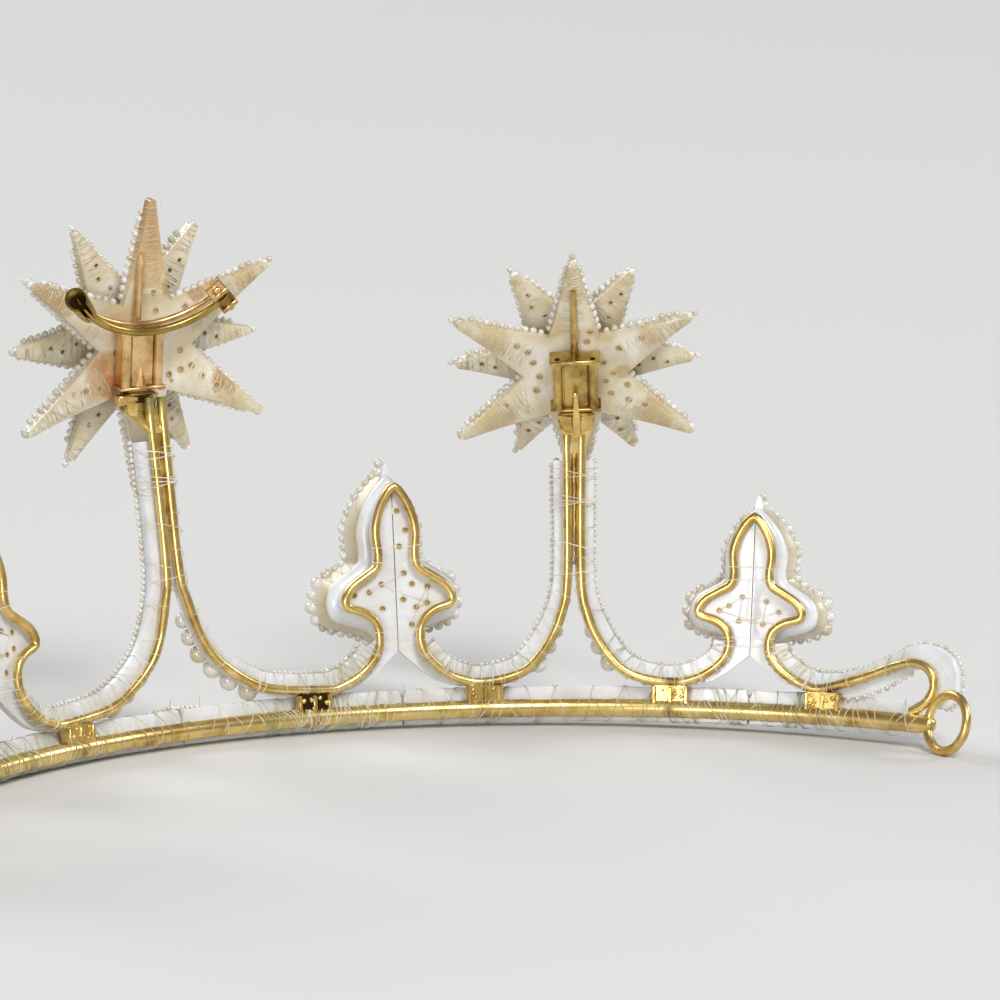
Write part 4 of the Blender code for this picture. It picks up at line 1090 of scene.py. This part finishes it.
radii = [0.48] * 34 + [0.46, 0.42, 0.36, 0.28, 0.2, 0.1]
shapes = [bow_wire(HINGE_X, CATCH_X + 0.9, PIN_OFF, radii, 16, -0.1)]
for low, high in ((-0.62, -0.25), (-0.2, 0.2), (0.25, 0.62)):
    shapes.append(rod(bow_point(HINGE_X, PIN_OFF, low), bow_point(HINGE_X, PIN_OFF, high), 0.78, 20))
make_piece("brass_brooch_pin", shapes, old_brass, "pin", ("brooch_pin",))

# Natural seed pearls edge every leaf, ray and strip, each sewn on by itself, with
# larger ones along the ridges. They are a little out of round, cream, white or grey.


def natural_pearl():
    """Nacre in thin round layers: soft body colour with a clear gloss over it."""
    finish, tree, shader, where = start_finish("natural_pearl", {
        "Roughness": 0.2, "IOR": 1.6, "Subsurface Weight": 0.1, "Subsurface Radius": (1.0, 0.85, 0.7),
        "Subsurface Scale": 0.4 * MM, "Coat Weight": 1.0, "Coat Roughness": 0.07})
    # growth marks on a pearl are about 0.6 mm
    mark = noise(tree, where, 0.6, Detail=3.0)
    body = tint(tree, "#E8E5DE", "#CBBEA0", wear_and_shade_of(tree))
    tree.links.new(tint(tree, body, "#B4B3B1", ramp(tree, mark, 0.5, 0.8, 0.5)), shader.inputs["Base Color"])
    relief(tree, shader, mark, 0.2, 0.03)
    return finish


pearl = natural_pearl()
chance = random.Random(11)


def pearls(places):
    """Pearls at (centre, radius), each squashed and tinted by chance."""
    shapes = []
    for centre, radius in places:
        sides, rows = (16, 10) if radius > 0.8 else (10, 7)
        squash = [chance.uniform(0.93, 1.05) for _ in range(3)]
        shapes.append(drop(centre, radius * chance.uniform(0.95, 1.04), squash, sides, rows,
                           chance.random() ** 1.6))
    return shapes


def along_line(start, end, radii_mm, gap=0.04):
    """Touching pearls from start to end, their radii going from the first to the last."""
    places, run, length = [], 0.0, (end - start).length
    while True:
        share = min(1.0, run / length)
        radius = (radii_mm[0] + (radii_mm[1] - radii_mm[0]) * share) * chance.uniform(0.92, 1.08)
        if run + 2 * radius > length:
            return places
        places.append((start.lerp(end, (run + radius) / length), radius))
        run += 2 * radius + gap


for which in STAR_S:
    stand = star_place(which)
    long_r, short_r = STAR_RAYS[which]
    places = []
    for ray in range(6):
        for phase, tip_r, tip_half, y, ridge_y, plump in (
                (pi / 2, long_r, TIP_LONG, -0.62, -1.25, (0.8, 0.5)),
                (0.0, short_r, TIP_SHORT, -3.85, -5.25, (1.25, 0.8))):
            angle = phase + 2 * pi * ray / 6
            for side in (-1, 1):
                def flat(r, w):
                    set_back = TIP_BACK * (r - NOTCH_R) / (long_r - NOTCH_R) if y > -1 else 0.0
                    return stand @ Vector((r * cos(angle) - side * w * sin(angle), y + set_back,
                                           r * sin(angle) + side * w * cos(angle)))
                places += along_line(flat(5.7, 2.95), flat(tip_r - 0.5, tip_half + 0.2), (0.46, 0.41), 0.08)
            spoke = Vector((cos(angle), 0.0, sin(angle)))
            near, far = spoke * (5.2 if y > -1 else 3.6), spoke * (tip_r - 1.6)
            near.y, far.y = ridge_y - plump[0] * 0.3, ridge_y + (0.3 if y > -1 else 0.5)
            places += along_line(stand @ near, stand @ far, plump)
            worn_off = which == "centre" and ray == 0 and y > -1
            if not worn_off:
                tip = spoke * (tip_r + 0.1)
                tip.y = y + (1.0 if y > -1 else 0.55)
                places.append((stand @ tip, 0.66 if y > -1 else 0.6))
                if ray % 2 == 1 or (which != "centre" and ray == 0):
                    tip = spoke * (tip_r + 1.05)
                    tip.y = y + (1.1 if y > -1 else 0.6)
                    places.append((stand @ tip, 0.38))
    for turn in range(14):
        angle = 2 * pi * turn / 14
        places.append((stand @ Vector((3.1 * cos(angle), -5.05, 3.1 * sin(angle))), 0.64))
    make_piece(f"star_seed_pearls_{which}", pearls(places), pearl, f"star_{which}")
    middle = stand @ Vector((0.0, PLATE_HALF - STAR_GAP - 1.8 - 0.3 - 2.4, 0.0))
    make_piece(f"star_middle_pearl_{which}", [drop(middle, 2.4, (1.0, 0.98, 1.0), 32, 20, 0.25)],
               pearl, f"star_{which}", (f"star_pearl_{which}",))

for which in LEAF_S:
    for side, hand in ((-1, "left"), (1, "right")):
        rows = leaf_edge(which)
        places = []
        for sign in (-1, 1):
            before, wait = None, 0.0
            for half_in, h_in, half_out, h_out in rows:
                here = on_band(side * (LEAF_S[which] + sign * half_out), h_out, LEAF_EDGE + 0.65)
                if before is not None:
                    length = (here - before).length
                    lobe = 1.0 if h_out < leaf_row(which, 0.0, 17.4)[1] else 0.0
                    radius = (0.76 if lobe else 0.52) * (1.0 + 0.1 * sin(h_out * 2.0))
                    if h_out < leaf_row(which, 0.0, 11.5)[1]:
                        radius *= 0.72
                    while wait + radius < length:
                        wait += radius
                        places.append((before.lerp(here, wait / length), radius))
                        wait += radius + 0.02
                    wait -= length
                before = here
        for h, radius in ((12.2, 1.5), (15.0, 1.35), (17.6, 1.1), (19.7, 0.95), (21.6, 0.85),
                          (23.3, 0.75), (24.8, 0.65)):
            places.append((on_band(side * LEAF_S[which], leaf_row(which, 0.0, h)[1],
                                   LEAF_EDGE + 1.1 + radius * 0.7), radius))
        for sign in (-1, 1):
            places.append((on_band(side * (LEAF_S[which] + sign * leaf_row(which, 4.6, 0.0)[0]),
                                   leaf_row(which, 0.0, 13.5)[1], LEAF_EDGE + 1.2), 1.3))
        tip = leaf_row(which, 0.0, 28.7)[1]
        places.append((on_band(side * LEAF_S[which], tip - 0.2, LEAF_EDGE + 0.4), 0.75))
        places.append((on_band(side * LEAF_S[which], tip + 0.95, LEAF_EDGE + 0.2), 0.52))
        make_piece(f"leaf_pearls_{hand}_{which}", pearls(places), pearl, "frame")
        bud = [[on_band(side * (LEAF_S[which] + along), tip + h, out) for along, out in (
            (-half, 3.0), (half, 3.0), (half, 3.9), (-half, 3.9))]
            for h, half in ((-1.6, 0.5), (-0.5, 0.42), (0.3, 0.3), (0.9, 0.06))]
        make_piece(f"leaf_bud_{hand}_{which}", [loft(bud)], nacre, "frame")

for side, hand in ((-1, "left"), (1, "right")):
    places = []
    for radius, h, out in ((0.72, 0.5, STRIP_BACK + STRIP_THICK + 0.55),
                           (0.42, STRIP_TOP - 0.52, STRIP_BACK + STRIP_THICK + 0.3),
                           (0.42, STRIP_LOW + 0.55, STRIP_BACK + STRIP_THICK + 0.3)):
        s = 0.5
        while s < 89.0:
            places.append((on_band(side * s, h, out), radius))
            s += 2 * radius + 0.06
    for s, h, radius in ((0.3, 2.75, 0.34), (0.95, 2.85, 0.28), (1.6, 2.7, 0.36), (2.2, 2.72, 0.26),
                         (2.9, 2.62, 0.3), (3.6, 2.6, 0.22)):
        places.append((on_band(side * s, h, STRIP_BACK + STRIP_THICK), radius))
    make_piece(f"rail_pearls_{hand}", pearls(places), pearl, "frame")
    for number in (1, 2, 3, 4):
        places, run = [], 0.0
        frames = slips[side, number]
        edge = [on_band(side * (s + inward[0] * (reach + 0.12)), h + inward[1] * (reach + 0.12),
                        SLIP_FRONT - 0.1) for (s, h), inward, reach in frames]
        for before, here in zip(edge, edge[1:]):
            length = (here - before).length
            while run < length:
                places.append((before.lerp(here, run / length), 0.29))
                run += 0.68
            run -= length
        for (s, h), inward, reach in frames[1:]:
            middle = (SLIP_NEAR + reach) / 2
            places.append((on_band(side * (s + inward[0] * middle), h + inward[1] * middle,
                                   SLIP_FRONT + 0.34), 0.4))
        for (s, h), inward, _ in frames:
            if scroll_drop(s) > 0.3:
                under = -0.8 - 1.2 * scroll_drop(s)
                places.append((on_band(side * (s + inward[0] * under), h + inward[1] * under,
                                       SLIP_BACK + 0.3), 0.36))
        make_piece(f"slip_pearls_{hand}_{number}", pearls(places), pearl, "frame")

# Larger pearls that grow downward are strung under each post, where its wires spread.
STRING_LOOK = {
    # pearls, height of the first, its radius and the last one's
    "left": (3, 10.0, 0.85, 1.1), "centre": (6, 14.0, 0.95, 1.25), "right": (3, 10.0, 0.85, 1.1)}


def point_along(line, reach):
    """The point at this length along a flat line, and its direction."""
    for before, here in zip(line, line[1:]):
        length = hypot(here[0] - before[0], here[1] - before[1])
        if length and reach <= length:
            ahead = ((here[0] - before[0]) / length, (here[1] - before[1]) / length)
            return (before[0] + ahead[0] * reach, before[1] + ahead[1] * reach), ahead
        reach -= length
    return line[-1], ahead


for which in STAR_S:
    count, start_h, first_r, last_r = STRING_LOOK[which]
    sweep = TALL_SWEEP if which == "centre" else LOW_SWEEP
    line = [point for point in rounded(list(((POST_HALF, POST_TOP[which]),) + sweep), 20)
            if point[1] <= start_h]
    for side, hand in ((-1, "left"), (1, "right")):
        places, run = [], 0.0
        for number in range(count):
            radius = first_r + (last_r - first_r) * number / (count - 1)
            (half, h), ahead = point_along(line, run + radius)
            across = 0.6 - radius
            places.append((on_band(STAR_S[which] + side * (half - ahead[1] * across),
                                   h + ahead[0] * across, 1.9), radius))
            run += 2 * radius + 0.15
        make_piece(f"post_pearls_{which}_{hand}", pearls(places), pearl, "frame",
                   (f"pearl_string_{which}_{hand}",))

# Silk thread ties everything: it winds round the wires and strips, thickest by the
# blocks and the feet of the leaves, and crosses the backs of the rays, fine and pale.
THREAD_R = 0.055


def silk_thread(name, pale, dark):
    """Waxed silk of about 0.1 mm: matt, with a soft sheen, white or yellowed green."""
    finish, tree, shader, where = start_finish(name, {
        "Roughness": 0.62, "Sheen Weight": 0.4, "Sheen Roughness": 0.4})
    # soiling of the thread changes every 5 mm
    soil = noise(tree, where, 5.0, Detail=4.0)
    tree.links.new(tint(tree, pale, dark, ramp(tree, soil, 0.4, 0.65)), shader.inputs["Base Color"])
    return finish


wrap_silk = silk_thread("waxed_silk_green", "#DEDDC0", "#A9AD79")
sewing_silk = silk_thread("waxed_silk_white", "#EFECE2", "#D6CBA6")
fine_silk = silk_thread("fine_silk_yellowed", "#E6DEC6", "#C6B48A")
chance = random.Random(23)


def strand(points, radius=THREAD_R, sides=4):
    """A thin thread through points."""
    fronts = []
    for number, point in enumerate(points):
        before, after = points[max(number - 1, 0)], points[min(number + 1, len(points) - 1)]
        fronts.append((after - before).orthogonal().normalized())
    for number in range(1, len(fronts)):
        ahead = (points[min(number + 1, len(points) - 1)] - points[number - 1]).normalized()
        fronts[number] = (fronts[number - 1] - ahead * fronts[number - 1].dot(ahead)).normalized()
    return tube(points, fronts, [radius] * len(points), sides)


def wrap(corners, slant, place, radius=THREAD_R):
    """One turn of thread pulled tight round flat corners, slanting along the bar."""
    ring = corners + corners[:1]
    run = [0.0]
    for here, there in zip(ring, ring[1:]):
        run.append(run[-1] + hypot(there[0] - here[0], there[1] - here[1]))
    return strand([place(x, y, slant * (far / run[-1] - 0.5)) for (x, y), far in zip(ring, run)], radius)


# corners that a turn of thread is pulled round, up or across and then out
AROUND_BAR = [(-1.12 * sin(2 * pi * step / 14), 1.12 * cos(2 * pi * step / 14)) for step in range(14)]
AROUND_BAR_AND_STRIP = [
    (0.4, 2.53), (-1.5, 2.53), (-1.67, 2.42), (-1.67, 1.35), (-1.04, -0.37), (-0.85, -0.71), (-0.5, -0.99),
    (0.0, -1.11), (0.45, -1.02), (0.84, -0.72), (2.63, 1.33), (2.63, 2.42), (2.45, 2.53)]
rail_wraps = []
for side in (-1, 1):
    s = 1.0
    while s < 90.0:
        near_block = min(abs(s - b) for b in BLOCK_S)
        near_leaf = min(abs(s - leaf) for leaf in LEAF_S.values())
        dense = near_leaf < 6 or near_block < 3.5

        def on_rail(h, out, shift):
            return on_band(side * (s + shift), h, out)

        lean = side * chance.choice((-1, 1, 1)) * chance.uniform(1.2, 5.0)
        bundle = chance.choice((1, 1, 2, 3)) if dense else 1
        section = AROUND_BAR if chance.random() < 0.4 else AROUND_BAR_AND_STRIP
        for _ in range(bundle):
            rail_wraps.append(wrap(section, lean, on_rail, chance.uniform(0.035, 0.055)))
            lean += chance.uniform(-0.7, 0.7)
        if side < 0 and 8 < s < 24:
            s += chance.uniform(0.15, 0.5)
        else:
            s += chance.uniform(0.35, 1.1) if dense else chance.uniform(0.7, 2.4)
make_piece("rail_thread", rail_wraps, wrap_silk, "frame")

slip_wraps, white_wraps = [], []
for (side, number), frames in slips.items():
    run, wait = 0.0, 0.4
    for ((s0, h0), _, _), ((s, h), inward, reach) in zip(frames, frames[1:]):
        run += hypot(s - s0, h - h0)
        if run < wait or reach > 2.1:
            continue
        run = 0.0
        low = h < 9.0
        wait = chance.uniform(0.05, 1.5) if low else chance.uniform(1.4, 4.0)

        around = [(0.8, 2.46), (-0.6, 2.46), (-0.73, 2.3), (-0.73, 0.85), (-0.61, 0.0), (-0.43, -0.43),
                  (0.0, -0.61), (0.43, -0.43), (reach + 0.06, 0.9), (reach + 0.06, 2.35), (reach - 0.1, 2.46)]
        foot = any(abs(s - leaf) < 8.5 for leaf in LEAF_S.values())
        for _ in range(chance.choice((2, 3, 4)) if foot else chance.choice((1, 1, 2)) if low else 1):
            aside = chance.uniform(-0.4, 0.4)

            def on_slip(across, out, shift):
                along = shift + aside
                return on_band(side * (s + inward[0] * across - inward[1] * along),
                               h + inward[1] * across + inward[0] * along, out)

            target = slip_wraps if chance.random() < 0.45 else white_wraps
            target.append(wrap(around, chance.uniform(-2.8, 2.8), on_slip, chance.uniform(0.03, 0.05)))
# turns of white thread round the posts: height on the middle one, and tilt
POST_TURNS = ((32.6, 0.5), (32.1, -0.3), (29.6, 0.4), (29.2, 0.1), (28.9, -0.5), (24.0, 0.6), (18.0, -0.4))
AROUND_POST = [
    (0.0, 2.5), (-2.4, 2.45), (-2.42, 0.85), (-1.25, -0.38), (-0.8, -0.62), (0.0, -0.62),
    (0.8, -0.62), (1.25, -0.38), (2.42, 0.85), (2.4, 2.45)]
for height, tilt in POST_TURNS:
    for which in STAR_S:
        level = height - (POST_TOP["centre"] - POST_TOP[which]) * (0.7 if height > 20 else 0.3)

        def on_post(across, out, shift):
            return on_band(STAR_S[which] + across, level + shift + 0.4 * tilt * across, out)

        white_wraps.append(wrap(AROUND_POST, 0.5, on_post))
make_piece("slip_thread_green", slip_wraps, wrap_silk, "frame")
make_piece("slip_thread_white", white_wraps, sewing_silk, "frame")

leaf_threads = []
for which in LEAF_S:
    for side in (-1, 1):
        holes = [(u, leaf_row(which, 0.0, v)[1]) for u, v in LEAF_HOLES[which]]
        for _ in range(len(holes)):
            (u0, v0), (u1, v1) = chance.sample(holes, 2)
            if hypot(u1 - u0, v1 - v0) < 6.0:
                leaf_threads.append(strand([
                    on_band(side * (LEAF_S[which] + u0 + (u1 - u0) * t), v0 + (v1 - v0) * t,
                            SLIP_BACK - 0.05 - 0.12 * sin(pi * t))
                    for t in (0.0, 0.25, 0.5, 0.75, 1.0)], 0.045))
        for h in (17.8, 19.6, 12.0, 9.6, 8.4):
            half, level = leaf_row(which, 3.1 if h > 15 else 3.4, h)
            leaf_threads.append(strand([
                on_band(side * (LEAF_S[which] + half * t), level + 0.25 * t * chance.uniform(-1, 1),
                        -WIRE_R - 0.06 + 0.3 * (1 - t * t) * (h < 15))
                for t in (-1.0, -0.5, 0.0, 0.5, 1.0)], 0.045))
        rows = leaf_edge(which)
        for _ in range(50):
            row = chance.randrange(2, len(rows) - 4)
            sign = chance.choice((-1, 1))
            line = []
            for ahead, (share, out, _) in enumerate(LEAF_STAGES[6:10]):
                half_in, h_in, half_out, h_out = rows[row + (ahead if row % 2 else 0)]
                half = half_in + (half_out - half_in) * share
                line.append(on_band(side * (LEAF_S[which] + sign * half), h_in + (h_out - h_in) * share,
                                    out - 0.09))
            leaf_threads.append(strand(line, 0.026, 3))
make_piece("leaf_thread", leaf_threads, sewing_silk, "frame")

for which in STAR_S:
    stand = star_place(which)
    long_r, short_r = STAR_RAYS[which]
    turns = []
    for ray in range(6):
        for phase, tip_r, tip_half, y, count in ((pi / 2, long_r, TIP_LONG, PLATE_HALF, 48),
                                                 (0.0, short_r, TIP_SHORT, PLATE_HALF - STAR_GAP, 30)):
            angle = phase + 2 * pi * ray / 6
            if y > 0 and ray == 3:
                continue
            for _ in range(count):
                r = chance.uniform(6.3, tip_r - 0.3)
                slant = chance.choice((0.15, 0.15, 0.4, 1.3)) * chance.uniform(-1.0, 1.0)
                line = []
                for step in range(9):
                    t = -1.0 + 2.0 * step / 8
                    along = r + slant * t
                    half = 3.05 + (tip_half - 3.05) * (along - 5.28) / (tip_r - 5.28) + 0.08
                    w = half * t
                    u = along * cos(angle) - w * sin(angle)
                    v = along * sin(angle) + w * cos(angle)
                    swell = ray_dome(u, v, phase, tip_r, 0.45 if y > 0 else 0.4)
                    bent = TIP_BACK * max(0.0, (hypot(u, v) - NOTCH_R) / (long_r - NOTCH_R)) if y > 0 else 0.0
                    line.append(stand @ Vector((u, y + bent + swell + 0.04 - 0.5 * abs(t) ** 6, v)))
                turns.append(strand(line, 0.032, 3))
    make_piece(f"star_thread_{which}", turns, fine_silk, f"star_{which}")

# Loose ends of thread curl out where a stitch has been knotted or has come undone.
curls = []
for which, x, z, size in (("left", -0.6, 15.0, 1.6), ("left", 0.9, 13.6, 1.9), ("left", -1.4, 12.2, 1.5),
                          ("centre", 13.0, 8.2, 1.5), ("centre", 12.2, 8.6, 1.2), ("centre", -1.5, 17.6, 1.3),
                          ("centre", -14.6, -8.2, 1.0), ("right", 0.8, 14.6, 1.4), ("right", 9.8, -7.0, 1.2)):
    stand = star_place(which)
    lean = chance.uniform(0.0, 2 * pi)
    points = []
    for step in range(18):
        t = step / 17
        angle = lean + t * chance.uniform(4.2, 4.6)
        points.append(stand @ Vector((x + size * 0.6 * t * cos(angle), 0.9 + 0.5 * t * size,
                                      z + size * 0.6 * t * sin(angle))))
    curls.append((which, strand(points, 0.045)))
for which in STAR_S:
    make_piece(f"loose_thread_{which}", [shape for name, shape in curls if name == which], sewing_silk,
               f"star_{which}")
ends = []
for _ in range(22):
    side = chance.choice((-1, 1))
    s = chance.choice((chance.uniform(1.0, 22.0), chance.uniform(24.0, 34.0), chance.uniform(56.0, 80.0)))
    start = on_band(side * s, *chance.choice(((2.62, 1.3), (0.8, -0.75), (-0.6, -0.9))))
    along, up, front = band_axes(side * s)
    reach = chance.uniform(0.4, 1.3)
    sway = chance.uniform(-1.0, 1.0)
    ends.append(strand([start + up * reach * t + along * sway * t * t * reach - front * 0.5 * t
                        for t in (0.0, 0.2, 0.4, 0.6, 0.8, 1.0)], 0.04))
make_piece("rail_loose_ends", ends, wrap_silk, "frame")

# The camera stands where the photograph was taken from: behind the tiara's left end,
# a little above it, far off and with a long lens.
CAMERA_TURN = radians(37.68)
CAMERA_RISE = radians(9.07)
CAMERA_ROLL = radians(-0.44)
CAMERA_FAR = 800.0
CAMERA_ASIDE = -12.89
CAMERA_UP = 7.65
AIM_H = 30.0
SENSOR_MM = 36.0
PIXELS_A_MM = 9.301
PICTURE_PIXELS = 1000
back = Vector((sin(CAMERA_TURN) * cos(CAMERA_RISE), cos(CAMERA_TURN) * cos(CAMERA_RISE), sin(CAMERA_RISE)))
right = Vector((-cos(CAMERA_TURN), sin(CAMERA_TURN), 0.0))
up = back.cross(right)
level = right * cos(CAMERA_ROLL) - up * sin(CAMERA_ROLL)
upright = right * sin(CAMERA_ROLL) + up * cos(CAMERA_ROLL)
place = Vector((0.0, 0.0, AIM_H)) + back * CAMERA_FAR + level * CAMERA_ASIDE + upright * CAMERA_UP
seat = STAND @ Matrix((
    (level.x, upright.x, back.x, place.x), (level.y, upright.y, back.y, place.y),
    (level.z, upright.z, back.z, place.z), (0.0, 0.0, 0.0, 1.0)))
seat.translation = seat.translation * MM
lens = bpy.data.cameras.new("camera")
lens.sensor_width = SENSOR_MM
lens.lens = PIXELS_A_MM * CAMERA_FAR * SENSOR_MM / PICTURE_PIXELS
lens.clip_start = 0.01
camera = put_in_scene("camera", lens)
camera.matrix_world = seat
bpy.context.scene.camera = camera

# A plain pale floor, and soft studio light from large panels.
FLOOR_HALF = 6.0
floor_mesh = bpy.data.meshes.new("floor")
corners = [(x * FLOOR_HALF, y * FLOOR_HALF, 0.0) for x, y in ((-1, -1), (1, -1), (1, 1), (-1, 1))]
floor_mesh.from_pydata(corners, [], [(0, 1, 2, 3)])
paper = bpy.data.materials.new("matt_paper")
paper.use_nodes = True
paper.node_tree.nodes["Principled BSDF"].inputs["Base Color"].default_value = colour("#DDDCDA")
paper.node_tree.nodes["Principled BSDF"].inputs["Roughness"].default_value = 0.9
floor_mesh.materials.append(paper)
floor = put_in_scene("floor", floor_mesh)

world = bpy.data.worlds.new("studio")
bpy.context.scene.world = world
world.use_nodes = True
world.node_tree.nodes["Background"].inputs["Color"].default_value = colour("#DFE2E8")
world.node_tree.nodes["Background"].inputs["Strength"].default_value = 0.28
bpy.context.scene.view_settings.view_transform = "Standard"
for name, spot, size, power in (("key_panel", (0.4, 2.0, 2.2), 1.1, 54.0),
                                ("side_panel", (2.2, 1.5, 0.45), 0.8, 20.0),
                                ("far_panel", (-2.1, 0.8, 1.3), 0.8, 18.0),
                                ("front_panel", (0.3, -2.2, 1.7), 1.5, 34.0)):
    lamp = bpy.data.lights.new(name, "AREA")
    lamp.size = size
    lamp.energy = power
    panel = put_in_scene(name, lamp)
    panel.location = spot
    panel.rotation_euler = (Vector((0.0, -0.01, 0.03)) - Vector(spot)).to_track_quat("-Z", "Y").to_euler()
